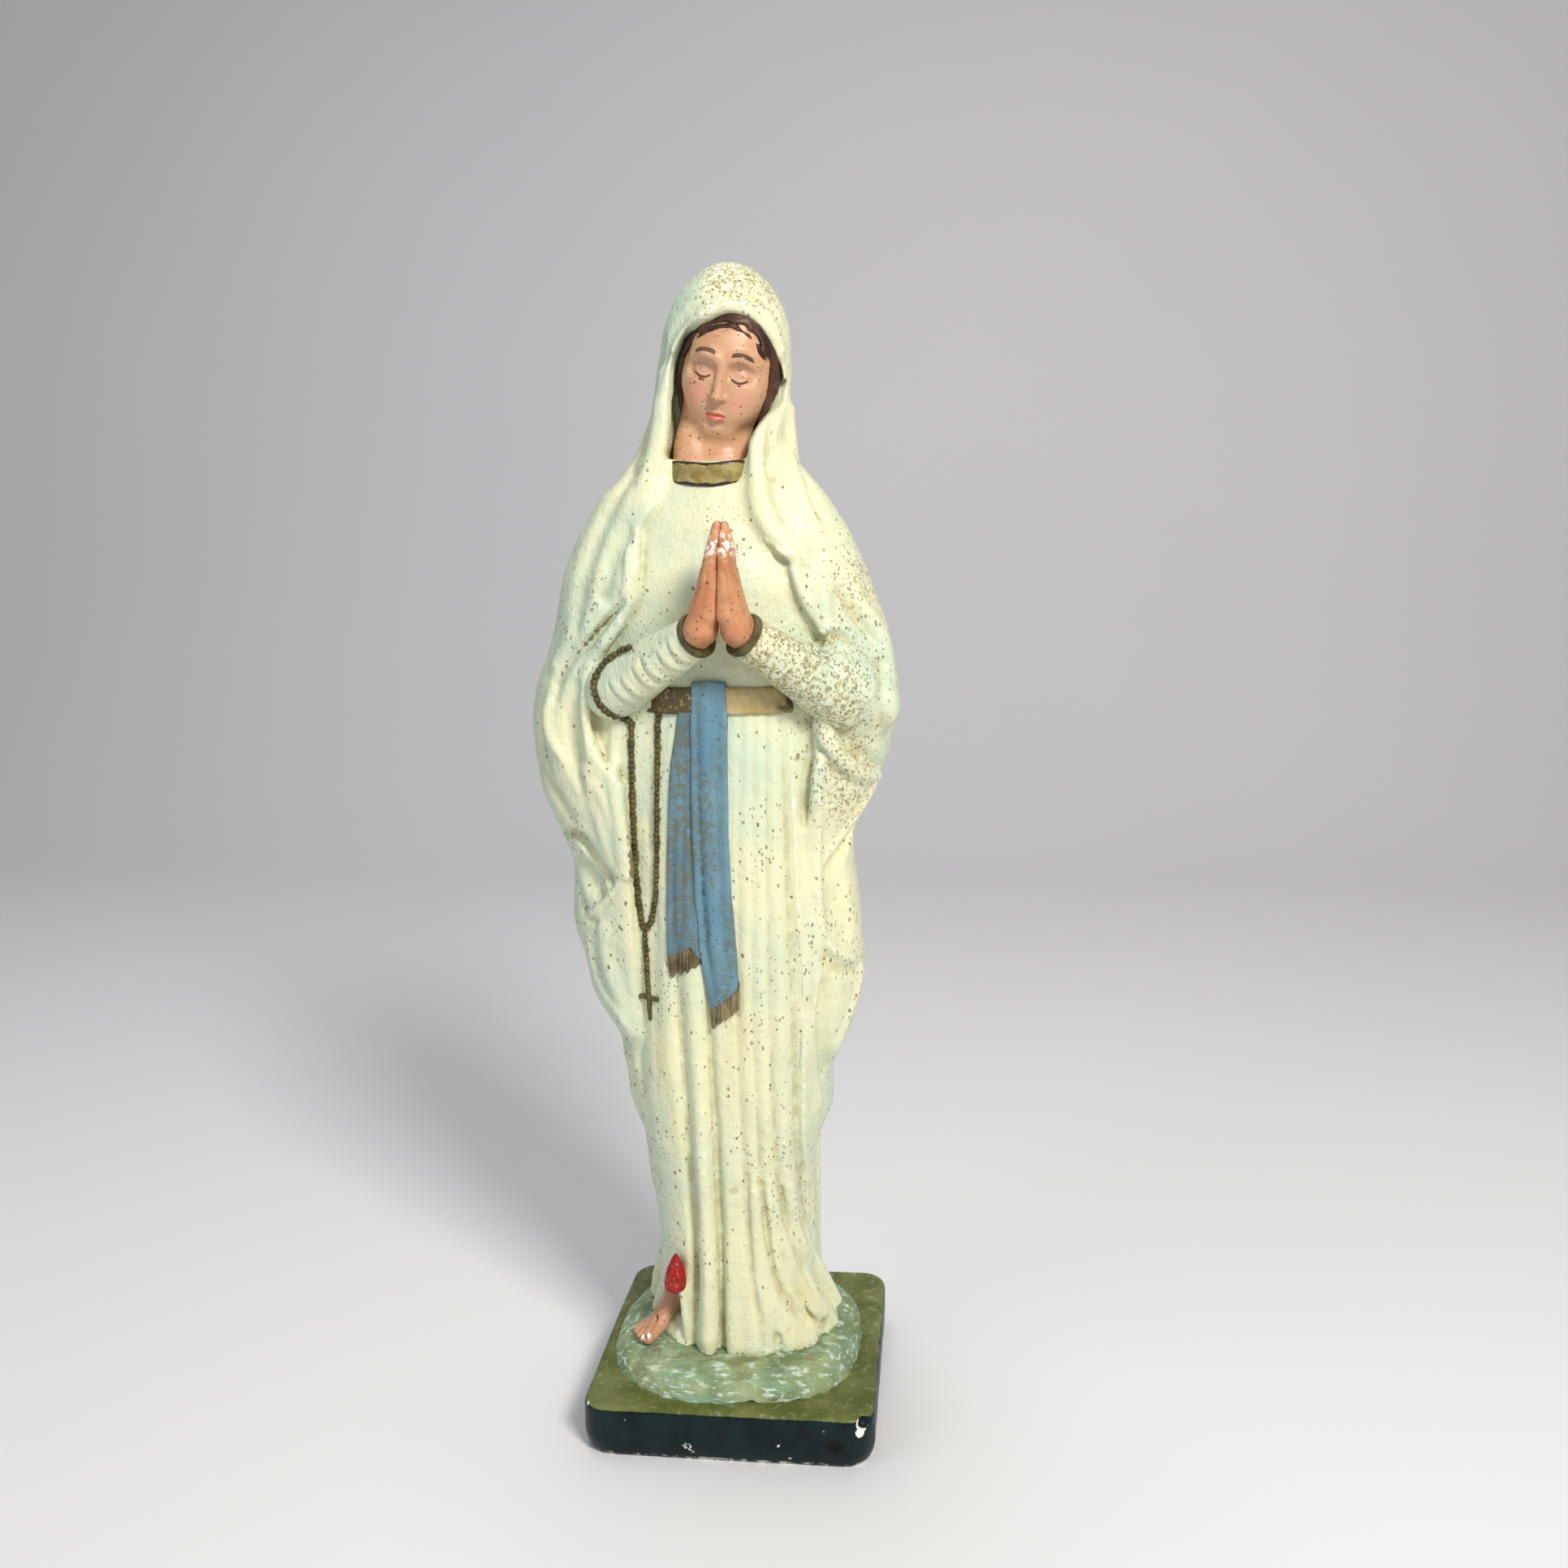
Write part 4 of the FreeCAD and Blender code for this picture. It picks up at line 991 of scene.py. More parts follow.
def make_cuff(side):
    """The narrow turned band at the wrist, a little out of true."""
    start, end = elbow(side), wrist(side)
    along = (end - start) / np.linalg.norm(end - start)
    c = Clay(end - 18, end + 18, 0.5)
    x, y, z = c.grid()
    t = (x - end[0]) * along[0] + (y - end[1]) * along[1] + (z - end[2]) * along[2]
    gap = np.sqrt(np.maximum((x - end[0]) ** 2 + (y - end[1]) ** 2 + (z - end[2]) ** 2 - t * t, 0))
    ring = trim(gap - 11.3, np.abs(t - 2.2) - 2.3, 1.6)
    c.d = ring.astype(F4)
    return c


def make_hand(side):
    """One of the joined hands: palm, four fingers laid together, and a thumb folded over in front."""
    px, py, tip = FINGERTIP
    c = Clay((px - 22, -92, 404), (px + 22, -52, 480), 0.45)

    def at(out, depth, height):
        """A point by how far it is out from the seam, how far back from the palms' middle, and its height."""
        return (px + LEAN * (height - tip) + side * 0.9 * out, py + depth, height)

    c.stroke([tuple(wrist(side)), at(13.5, 3.5, 421), at(9.5, 2, 424.5)], [7.6, 7.8, 7.6], 3)
    for depth, size in ((2.5, 1.0), (-4.5, 0.93)):
        c.stroke([at(9.6, depth, 424), at(7.6, depth - 0.6, 432), at(6.0, depth - 1.2, 441),
                  at(4.6, depth - 2, 451)], [7.4 * size, 6.8 * size, 5.6 * size, 4.3 * size], 3)
    for depth in (-7.5, -2.0, 4.0):
        c.stroke([at(4.6, depth, 432), at(4.0, depth, 441), at(3.4, depth, 450)], [4.9, 4.6, 3.8], 2.5)
    for depth, top in ((-9.0, 462.0), (-5.0, 470.0), (-0.6, tip), (3.8, 471.0)):
        c.stroke([at(5.6, depth + 0.6, 441), at(4.2, depth, 450), at(3.3, depth - 0.5, (452 + top) / 2),
                  at(1.7, depth - 0.7, top - 2.6)], [3.6, 3.8, 3.3, 2.5], 1.0)
    c.stroke([at(7.0, 8.5, 428), at(4.6, 9.0, 440), at(3.2, 8.4, 452)], [5.0, 4.0, 2.8], 2)
    c.carve([at(9.0, -12.6, 427), at(6.6, -13.0, 438), at(4.6, -12.6, 450)], [0.8, 0.8, 0.5], 1.5)
    x, y, z = c.grid()
    c.d = trim(c.d, -side * (x - px - LEAN * (z - tip)), 0.7)
    return c


# ---------------------------------------------------------------- head
def head_matrix():
    """From the head's own frame, in which it faces -Y upright, to the figure's."""
    turn = Matrix.Rotation(math.radians(HEAD_ROLL), 4, "Y") @ Matrix.Rotation(math.radians(HEAD_NOD), 4, "X")
    return Matrix.Translation([v * MM for v in HEAD_PLACE]) @ turn


def head_form(x, y, z):
    """The plain egg shapes of skull and face."""
    skull = egg(x, y, z, (0, 3, 4), (23.5, 27.0, 29.0))
    face = egg(x, y, z, (0, -6.0, -9.5), (20.8, 20.5, 27.5))
    return join(skull, face, 9.0)


def make_head():
    """Head and neck. The face is a plain classical one: eyes at half height, thirds from brow to chin."""
    c = Clay((-30, -40, -60), (30, 34, 40), 0.5)
    x, y, z = c.grid()
    c.d = head_form(x, y, z)
    for s in (-1, 1):
        c.stroke([(s * 10.5, -17.5, -9), (s * 8.0, -18.4, -17)], [6.4, 5.2], 9.0)
        c.stroke([(s * 3.8, -26.0, 5.2), (s * 9.5, -24.8, 6.4), (s * 15.0, -19.5, 3.6)], [2.2, 2.6, 2.0], 4.0)
        c.carve([(s * 4.8, -28.0, -1.2), (s * 9.2, -27.8, -0.6), (s * 14.0, -23.6, -1.6)], [1.8, 3.2, 2.2],
                3.5)
    c.d = join(c.d, egg(x, y, z, (0, -15.0, -21.5), (9.5, 10.0, 9.0)), 6.0)
    c.stroke([(0, -26.3, 3), (0, -27.4, -3), (0, -29.4, -9.5), (0, -30.0, -12.6)], [2.0, 2.0, 2.4, 2.7], 2.6)
    for s in (-1, 1):
        c.stroke([(s * 2.6, -27.3, -12.8), (s * 3.5, -25.4, -12.2)], [1.9, 1.6], 1.4)
        c.carve([(s * 1.5, -29.6, -15.6), (s * 2.5, -27.6, -15.4)], [0.7, 0.7], 0.6)
        eye = egg(x, y, z, (s * 9.0, -20.8, -2.6), (5.6, 4.6, 4.3))
        c.d = join(c.d, eye, 1.2)
        c.stroke([(s * 4.9, -24.2, -3.4), (s * 9.0, -26.2, -4.4), (s * 13.2, -22.8, -3.8)], [0.55, 0.8, 0.55],
                 0.7)
        c.carve([(s * 5.2, -24.6, -5.0), (s * 9.0, -26.0, -6.3), (s * 12.8, -22.8, -5.2)], [0.35, 0.55, 0.35],
                0.6)
        c.carve([(s * 5.0, -25.4, -0.2), (s * 9.0, -26.4, 1.4), (s * 13.4, -22.8, 0.2)], [0.4, 0.7, 0.4], 0.9)
    c.carve([(0, -27.6, -16.6), (0, -27.2, -19.0)], [0.8, 0.7], 1.0)
    c.stroke([(-5.6, -24.0, -21.4), (-2.0, -26.2, -20.2), (0, -26.3, -20.6), (2.0, -26.2, -20.2),
              (5.6, -24.0, -21.4)], [0.5, 1.2, 1.1, 1.2, 0.5], 1.0)
    c.stroke([(-4.6, -24.2, -22.8), (0, -26.1, -23.6), (4.6, -24.2, -22.8)], [0.6, 1.6, 0.6], 1.0)
    c.carve([(-5.8, -24.7, -21.8), (0, -27.3, -22.0), (5.8, -24.7, -21.8)], [0.3, 0.35, 0.3], 0.7)
    c.carve([(-3.0, -25.6, -26.8), (3.0, -25.6, -26.8)], [1.3, 1.3], 3.0)
    c.stroke([(-3.2, -17.4, -31.0), (3.2, -17.4, -31.0)], [5.0, 5.0], 7.0)
    for dx in (-4.5, 4.5):
        c.stroke([(0.5 * dx, 6, -14), (1 + 0.7 * dx, -5, -34), (3 + dx, -17.5, -56)], [12.0, 12.4, 14.4], 4.0)
    for s in (-1, 1):
        c.stroke([(s * 13, 4, -22), (1 + s * 10, -12, -38), (4 + s * 3, -29, -54)], [2.0, 2.8, 2.4], 4.0)
    into_head = head_matrix().inverted()
    side = [into_head @ Vector([v * MM for v in p]) for p in ((-17.5, -13, 500), (-17.5, -10, 513),
                                                              (-16, -4, 530))]
    c.stroke([tuple(v / MM for v in p) for p in side], [8.0, 7.4, 5.0], 5.0)
    return c


def face_values(vertices):
    """Paint on the head, in its own frame: 1 where lips, brows, lids and cheeks are coloured."""
    x, y, z = vertices.T
    front = np.clip((-y - 12) / 6, 0, 1)
    s = np.abs(x)
    lips = np.exp(-((np.maximum(s - 3.2, 0) / 1.6) ** 2) - ((z + 22.0 + 0.012 * s * s) / 2.0) ** 4)
    arch = 8.3 - 0.055 * (s - 8.2) ** 2
    brow = np.exp(-((z - arch) / 1.0) ** 4) * np.clip((s - 3.4) / 1.2, 0, 1) * np.clip((15.6 - s) / 2.5, 0, 1)
    curve = -4.6 + 0.08 * (s - 9.0) ** 2
    lash = np.exp(-((z - curve) / 0.65) ** 4) * np.clip((s - 4.6) / 0.8, 0,
                                                        1) * np.clip((13.6 - s) / 0.8, 0, 1)
    cheek = np.exp(-(((s - 11.5) / 5.0) ** 2) - ((z + 13.0) / 5.5) ** 2)
    eyeshade = np.exp(-(((s - 9) / 5.5) ** 2) - ((z - 1.8) / 3.2) ** 2)
    return {
        "lips": lips * front,
        "brow": brow * front,
        "lash": lash * front,
        "cheek": cheek * front,
        "shade": eyeshade * front,
    }


def make_hair():
    """The hair that shows round the face: waves drawn back from the middle under the hood."""
    c = Clay((-32, -36, -46), (32, 16, 42), 0.5)
    x, y, z = c.grid()
    cap = head_form(x, y, z) - 1.7
    rim = egg(x, y * 0.4, z, (0.6, 0, -9.2), (23.3, 60.0, 31.2))
    c.d = trim(cap, -rim, 1.2)
    for s in (-1, 1):
        for i in range(11):
            lift = 1.5 * i
            run = [(s * 0.6, -20.5 + lift, 20.0 + 0.5 * i), (s * (8 + 0.4 * i), -19 + lift, 17.5 + 0.6 * i),
                   (s * (15.5 + 0.5 * i), -16.5 + lift,
                    10.5 + 0.5 * i), (s * (20.6 + 0.3 * i), -12 + lift, -2)]
            c.stroke(run, [0.6, 1.1, 1.2, 0.8], 0.7)
        for i in range(5):
            run = [(s * (21.8 + 0.3 * i), -12 + 2.4 * i, 3), (s * (21.9 - 0.1 * i), -11 + 2.4 * i, -13),
                   (s * (19.2 - 0.1 * i), -9 + 2.4 * i, -26), (s * (17.0 + 0.2 * i), -6 + 2 * i, -38)]
            c.stroke(run, [1.3, 1.55, 1.4, 0.8], 0.9)
    return c


def from_collar(x, z):
    """Height above or below the middle of the collar, which sags in front."""
    return np.abs(z - COLLAR_Z + 1.6 * np.exp(-(((x + 5) / 12) ** 2)))


def make_collar():
    """The flat band round the throat, which sags a little in front."""
    c = Clay((-32, -40, 486), (20, 14, 510), 0.5)
    x, y, z = c.grid()
    ring = oval(x, y, z, [(480, -27.6, 14.8, -33.4, 10), (498, -27.4, 14.7, -31.6, 10),
                          (515, -26.6, 14.2, -29.4, 10)], 2.6)
    band = from_collar(x, z) - 5.6
    c.d = trim(ring, band, 1.2)
    c.d = trim(c.d, y - 8, 1.0)
    return c


def collar_values(vertices):
    """The dark painted outline of the collar."""
    x, y, z = vertices.T
    wander = 0.5 * np.sin(x * 0.7) + 0.3 * np.sin(x * 1.9)
    line = np.clip((from_collar(x, z) - 3.9 + 0.5 * wander) / 0.7, 0, 1)
    ends = np.clip((np.abs(x + 6.3) - 18.6) / 0.8, 0, 1)
    return {"line": np.maximum(line, ends)}


# ---------------------------------------------------------------- belt, sash and rosary
def laid(points, thickness, step=0.6, edge=1.2):
    """A strip of clay over the gown inside an outline of points (x, z), bedded 2 mm into it."""
    outline = np.array(points, float)
    low = (outline[:, 0].min() - 3, -60, outline[:, 1].min() - 3)
    high = (outline[:, 0].max() + 3, -18, outline[:, 1].max() + 3)
    c = Clay(low, high, step)
    x, y, z = c.grid()
    body = gown_field(x, y, z)
    u, v = np.meshgrid(c.axes[0], c.axes[2], indexing="ij")
    gap, inside = np.full(u.shape, 1e9), np.zeros(u.shape, bool)
    for a, b in zip(outline, np.roll(outline, -1, axis=0)):
        way = b - a
        t = np.clip(((u - a[0]) * way[0] + (v - a[1]) * way[1]) / max(way @ way, 1e-9), 0, 1)
        gap = np.minimum(gap, np.hypot(u - a[0] - t * way[0], v - a[1] - t * way[1]))
        crossing = (a[1] > v) != (b[1] > v)
        inside ^= crossing & (u < (b[0] - a[0]) * (v - a[1]) / (b[1] - a[1] + 1e-12) + a[0])
    flat = np.where(inside, -gap, gap).astype(F4)[:, None, :]
    c.d = trim(trim(body - thickness, -body - 2.0, 0.2), flat, edge)
    return c


# Outlines of the sash's tails and fringes: (x, z) from the front.
LONG_TAIL = [
    (-13.6, 397.4), (-5, 397.9), (3.6, 397.2), (4.2, 380), (3.6, 360), (4.0, 338), (3.6, 320), (4.6, 290),
    (6.4, 262), (7.2, 243), (3, 239), (-2, 235), (-8.2, 231), (-9.4, 240), (-12.0, 262), (-13.6, 290),
    (-14.0, 320), (-14.6, 350), (-14, 376),
]
LONG_FRINGE = [(-8.6, 235.5), (7.4, 245.5), (7.0, 232), (-7.4, 221.5)]
SHORT_TAIL = [
    (-20.5, 383), (-12, 383), (-11, 320), (-9.8, 262), (-12, 257), (-17, 264), (-22, 261), (-29.0, 258),
    (-29.2, 270), (-28.4, 300), (-25.8, 350),
]
SHORT_FRINGE = [(-29.4, 263), (-10.2, 264), (-10.6, 256), (-28.6, 247)]


def fringe_outline(corners, rng):
    """Ragged ends above and below between four corners: upper right, upper left, lower left, lower right."""
    count = 9
    outline = []
    for (ax, az), (bx, bz), peak, dip in ((*corners[:2], 2.6, -1.2), (*corners[2:], 1.0, -1.4)):
        for i in range(count + 1):
            ragged = (peak if i % 2 else dip) * rng.uniform(0.4, 1.2)
            outline.append((ax + (bx - ax) * i / count, az + (bz - az) * i / count + ragged))
    return outline


def make_sash():
    """The two tails and their fringes."""
    long = laid(LONG_TAIL, 3.2, 0.6, 1.6)
    for run, size, deep in (
        ([(-10.6, 392), (-10.8, 340), (-9, 280), (-6, 240)], 1.2, 0.7),
        ([(0, 385), (-1, 330), (1, 270), (3.4, 246)], 2.4, 0.45),
    ):
        long.furrow(run, size, deep, 1.6)
    for run, size in (
        ([(-6.4, 393), (-6.8, 340), (-5, 280), (-2, 244)], 1.6),
        ([(-12.6, 380), (-12.6, 330), (-11, 270)], 1.2),
    ):
        long.ridge(run, size, 0.5, 1.6)
    short = laid(SHORT_TAIL, 2.0, 0.6, 1.4)
    for run in (
        [(-17, 375), (-19, 320), (-21.5, 270)],
        [(-15, 350), (-15.5, 300), (-15, 268)],
        [(-23, 340), (-25, 300), (-26, 268)],
    ):
        short.furrow(run, 1.2, 0.7, 1.4)
    fringes = []
    for points, thickness, seed in ((LONG_FRINGE, 3.0, 3), (SHORT_FRINGE, 2.0, 4)):
        rng = np.random.default_rng(seed)
        fringe = laid(fringe_outline(points, rng), thickness, 0.4, 0.6)
        left, right = min(p[0] for p in points), max(p[0] for p in points)
        low, high = min(p[1] for p in points), max(p[1] for p in points)
        for place in np.arange(left + 1, right, 1.7):
            lean = rng.uniform(-1.2, 1.2)
            fringe.furrow([(place, high), (place + lean * 0.5, (low + high) / 2), (place + lean, low - 2)],
                          0.7, [0.5, 1.0, 1.3], 0.6)
        fringes.append(fringe)
    return long, short, fringes


def make_belt():
    """The waistband with its raised edges."""
    c = laid([(-42, 381.5), (38, 381.5), (38, 394.5), (-42, 394.5)], 2.0, 0.6, 1.4)
    for heights in ((382.6, 382.4, 382.8), (393.4, 393.6, 393.2)):
        c.ridge(list(zip((-36, 0, 35), heights)), 0.9, 0.4, 0.8)
    return c


def bead_mesh(name, centres, radius, material, node, seed):
    """Hand-modelled beads: each a little round blob of its own size."""
    rng = np.random.default_rng(seed)
    rings, turns = 7, 10
    angles = np.linspace(0, math.pi, rings + 2)[1:-1]
    ball = [(0, 0, 1.0)]
    for a in angles:
        for t in range(turns):
            b = 2 * math.pi * t / turns
            ball.append((math.sin(a) * math.cos(b), math.sin(a) * math.sin(b), math.cos(a)))
    ball.append((0, 0, -1.0))
    ball = np.array(ball)
    faces = []
    for t in range(turns):
        u = (t + 1) % turns
        faces.append((0, 1 + t, 1 + u, 1 + u))
        for r in range(rings - 1):
            a, b = 1 + r * turns, 1 + (r + 1) * turns
            faces.append((a + t, b + t, b + u, a + u))
        last = 1 + (rings - 1) * turns
        faces.append((last + t, len(ball) - 1, last + u, last + u))
    blobs, blob_faces = [], []
    for centre in centres:
        stretch = radius * rng.uniform(0.86, 1.14, 3)
        bumps = 1 + 0.06 * rng.standard_normal(len(ball))
        blob_faces += [[i + len(ball) * len(blobs) for i in dict.fromkeys(f)] for f in faces]
        blobs.append(np.array(centre) + ball * stretch * bumps[:, None])
    mesh = bpy.data.meshes.new(name)
    mesh.from_pydata((np.vstack(blobs) * MM).tolist(), [], blob_faces)
    mesh.polygons.foreach_set("use_smooth", np.ones(len(mesh.polygons), bool))
    hollow = mesh.attributes.new("hollow", "FLOAT", "POINT")
    hollow.data.foreach_set("value", np.zeros(len(mesh.vertices), F4))
    mesh.materials.append(material)
    ob = bpy.data.objects.new(name, mesh)
    bpy.context.scene.collection.objects.link(ob)
    return declare(ob, node)


def evenly(path, spacing):
    """Points evenly spaced along a curve through path."""
    run = smooth_path(path, 8)
    gaps = np.linalg.norm(np.diff(run, axis=0), axis=1)
    reached = np.concatenate([[0], np.cumsum(gaps)])
    places = np.arange(0, reached[-1], spacing)
    return np.stack([np.interp(places, reached, column) for column in run.T], axis=1)


# ---------------------------------------------------------------- foot, rose and base
def make_foot():
    """The bare right foot: instep, great toe and small toes with their nails."""
    c = Clay((-66, -50, 34), (-26, 18, 78), 0.5)
    c.stroke([(-36, 6, 58), (-38, -8, 53), (-42, -21, 47)], [7.5, 6.2, 4.4], 3)
    c.stroke([(-41, 0, 49), (-44, -12, 46.5), (-46.5, -22, 44)], [5.0, 4.4, 3.2], 4)
    c.stroke([(-41, -17, 45), (-44.5, -28, 43.6), (-47.0, -34.5, 43.2)], [3.9, 3.3, 3.0], 1.2)
    for i, (x, y) in enumerate(((-50.7, -33.4), (-53.2, -30.0), (-55.0, -26.4), (-56.2, -22.8))):
        c.stroke([(-45.5 - 1.4 * i, -19 + 1.4 * i, 44.8 - i * 0.4), (x, y, 42.6 - 0.3 * i)],
                 [2.3 - 0.2 * i, 2.0 - 0.2 * i], 0.4)
    for x, y, z, r in ((-47.4, -35.4, 44.9, 1.5), (-50.4, -34.0, 43.8, 1.1)):
        c.stroke([(x, y, z), (x + 0.4, y + 1.2, z + 0.3)], [r, r], 0.4)
    for ax, ay, bx, by in ((-43.5, -20, -49.4, -38), (-46.6, -18, -52.8, -34.6), (-48.6, -16, -55.6, -30.4)):
        c.carve([(ax, ay, 49.6), ((ax + bx) / 2, (ay + by) / 2, 46.8), (bx, by, 43.6)], [0.8, 1.5, 1.7], 0.6)
    x, y, z = c.grid()
    c.d = trim(c.d, MOUND_TOP - 1.0 - z, 0.5)
    return c


def foot_values(vertices):
    """White on the two largest nails."""
    x, y, z = vertices.T
    nails = np.zeros(len(vertices))
    for nx, ny, nz, r in ((-47.4, -36.0, 45.4, 2.0), (-50.5, -34.8, 44.2, 1.5)):
        gap = np.sqrt((x - nx) ** 2 + (y - ny) ** 2 + (z - nz) ** 2)
        nails = np.maximum(nails, np.clip((r - gap) / 0.5, 0, 1))
    return {"nails": nails}


def make_rose():
    """A bud of overlapping petals that narrows to a point above."""
    c = Clay((-46, -54, 66), (-16, -22, 104), 0.45)
    c.stroke([(-31.2, -37, 77.8), (-31.0, -36.6, 81.0), (-30.8, -35.4, 86), (-31.2, -34, 91.0)],
             [5.8, 5.6, 3.9, 1.5], 2)
    for i in range(9):
        angle = math.radians(40 * i + 10)
        ring = 3.4 if i % 2 else 2.2
        cx, cz = -31.1 + 1.15 * ring * math.cos(angle), 78.8 + 1.35 * ring * math.sin(angle)
        run = [(cx - 2.2 * math.sin(angle), -39.2, cz + 2.6 * math.cos(angle)), (cx, -40.6, cz),
               (cx + 2.2 * math.sin(angle), -39.2, cz - 2.6 * math.cos(angle))]
        c.stroke(run, [0.9, 1.5, 0.9], 0.5)
    c.carve([(-32.2, -42.4, 79), (-30.8, -42.9, 81), (-29.6, -42.4, 79)], [0.6, 0.8, 0.6], 0.5)
    return c


def make_mound():
    """Rough modelled ground that rises to the hem."""
    c = Clay((-76, -76, 24), (76, 76, 46), 0.9)
    x, y, z = c.grid()
    c.d = oval(x, y, z, [(20, -71.5, 66.5, -69, 69), (28, -70.5, 65.5, -68, 68), (33, -69, 63.5, -66.5, 66.5),
                         (40, -59, 56, -57, 59)], 2.5)
    c.d = trim(c.d, z - 39.0, 7.0)
    rng = np.random.default_rng(21)
    for _ in range(110):
        angle = rng.uniform(0, 2 * math.pi)
        ring = rng.uniform(0.72, 0.93)
        turn = angle + rng.uniform(0.08, 0.30)
        arc = ((angle, ring), ((angle + turn) / 2, ring + rng.uniform(-0.03, 0.03)), (turn, ring))
        run = [(68 * r * math.cos(a) - 2.5, 67.5 * r * math.sin(a) + 1, 39.2 - 34 * max(r - 0.74, 0) ** 1.15)
               for a, r in arc]
        size = rng.uniform(0.9, 2.2)
        c.stroke([(px, py, pz - size + 0.7) for px, py, pz in run], [size * 0.5, size, size * 0.4], 2.0)
    c.d = trim(c.d, 27.0 - z, 0.3)
    return c


def make_plinth():
    """The square slab with worn edges and chipped corners."""
    c = Clay((-79, -79, -2), (79, 79, 31), 1.0)
    x, y, z = c.grid()
    half = 75.8 - 2.6 * np.clip((12 - z) / 12, 0, 1) ** 2
    gx, gy = np.abs(x) - (half - 14), np.abs(y) - (half - 14)
    side = np.hypot(np.maximum(gx, 0), np.maximum(gy, 0)) + np.minimum(np.maximum(gx, gy), 0) - 14
    c.d = trim(trim(side.astype(F4), z - PLINTH_TOP, 4.0), -z, 1.6)
    rng = np.random.default_rng(8)
    for cx, cy, cz, r in CHIPS:
        for _ in range(3):
            jitter = rng.uniform(-0.6, 0.6, 3) * r
            c.carve([(cx + jitter[0], cy + jitter[1], cz + jitter[2] * 0.5)] * 2, [r * 0.8, r * 0.8], 0.8)
    return c


# Chips in the plinth: place and radius.
CHIPS = [
    (71.0, -73.6, 25.0, 4.0), (69.0, -74.8, 20.5, 2.6), (-73.5, -70.8, 27.5, 2.2), (70.5, -74.5, 1.0, 3.2),
    (-60, -75.8, 0.5, 2.2), (20, -76, 0.2, 1.8), (45, -76, 0.3, 2.0), (-30, -76, 0.2, 1.5), (76, 0, 28, 1.8),
    (-74, 72, 27, 2.6), (76, 50, 0.5, 2.0),
]


def chip_values(vertices):
    """1 on the broken plaster of the chips and along the scuffed lower edge."""
    x, y, z = vertices.T
    bare = np.zeros(len(vertices))
    for cx, cy, cz, r in CHIPS:
        gap = np.sqrt((x - cx) ** 2 + (y - cy) ** 2 + (z - cz) ** 2)
        bare = np.maximum(bare, np.clip((1.25 * r - gap) / 1.0, 0, 1))
    for cx, cz, r in ((-20, 9, 3.0), (-17, 6, 2.2), (27, 12, 1.8), (33, 5, 1.4), (-52, 22, 1.2), (50, 21, 1.3),
                      (4, 4, 1.0)):
        gap = np.sqrt((x - cx) ** 2 + ((z - cz) * 1.3) ** 2)
        bare = np.maximum(bare, np.clip((r - gap) / 2.4 + 0.2, 0, 0.50) * (y < -60))
    lost = np.clip((5.0 - np.hypot(x - 56, (z - 13) * 1.2)) / 1.5, 0, 1) * (y < -60)
    return {"bare": bare, "lost": lost, "top": np.clip((z - 25.6) / 1.4, 0, 1)}


# ---------------------------------------------------------------- materials of single pieces
def flesh(name, base, second):
    """Flesh paint. The head's has painted lips, brows, lashes and cheeks."""
    n = Nodes(name)
    tone = n.ramp(n.noise(60.0, 4.0), 0.38, 0.66)
    colour = n.mix(tone, base, second)
    colour = n.over(colour, (0.76, 0.28, 0.22), n.value("cheek"), 0.55)
    colour = n.over(colour, (0.50, 0.33, 0.30), n.value("shade"), 0.28)
    ragged = n.noise(900.0, 3.0, 0.6)
    stain = n.ramp(n.noise(130.0, 5.0, 0.65), 0.60, 0.74)
    colour = n.over(colour, (0.52, 0.36, 0.20), stain, 0.35)
    hollow = n.value("hollow")
    grain = n.ramp(n.noise(520.0, 4.0, 0.65), 0.42, 0.62)
    # Painted shade and dirt: dark brown in the hollows.
    colour = n.over(colour, (0.16, 0.08, 0.04), n.times(n.ramp(hollow, 0.10, 0.50), grain), 0.7)
    colour = n.mix(n.times(n.ramp(n.math("ADD", n.value("lips"), n.times(ragged, 0.3)), 0.55, 0.80), 0.8),
                   colour, (0.60, 0.11, 0.09))
    for key in ("brow", "lash"):
        line = n.ramp(n.math("ADD", n.value(key), n.times(ragged, 0.35)), 0.55, 0.75)
        colour = n.over(colour, (0.05, 0.025, 0.02), line, 0.9)
    fine = n.math("MAXIMUM", speckles(n, 420.0, 0.28, 0.5), speckles(n, 170.0, 0.13, 0.3))
    colour = n.over(colour, (0.11, 0.055, 0.022), fine, 0.75)
    chips = n.times(n.value("worn"), n.ramp(n.noise(360.0, 3.0, 0.5), 0.50, 0.54))
    colour = n.mix(chips, colour, (0.86, 0.84, 0.78))
    colour = n.mix(n.value("nails"), colour, (0.88, 0.87, 0.82))
    n.bump((n.noise(260.0, 4.0), 0.16), (n.noise(1000.0, 2.0), 0.05))
    return n.finish(colour, n.math("ADD", 0.36, n.times(tone, 0.12)))


def belt_paint():
    """Old gold, almost covered with brown dirt on the figure's right of the sash and at the far end."""
    n = Nodes("belt_gold")
    colour = n.mix(n.ramp(n.noise(90.0, 4.0), 0.35, 0.65), (0.42, 0.31, 0.11), (0.56, 0.46, 0.24))
    across = n.axis("X")
    dark = n.math("MAXIMUM", n.ramp(across, -0.006, -0.014), n.ramp(across, 0.026, 0.036))
    cover = n.times(n.math("ADD", 0.18, dark), n.ramp(n.noise(240.0, 5.0, 0.7), 0.30, 0.50), clamp=True)
    colour = n.over(colour, (0.055, 0.036, 0.012), cover, 0.92)
    n.bump((n.noise(260.0, 4.0), 0.3),)
    return n.finish(colour, n.math("ADD", 0.36, n.times(cover, 0.2)))


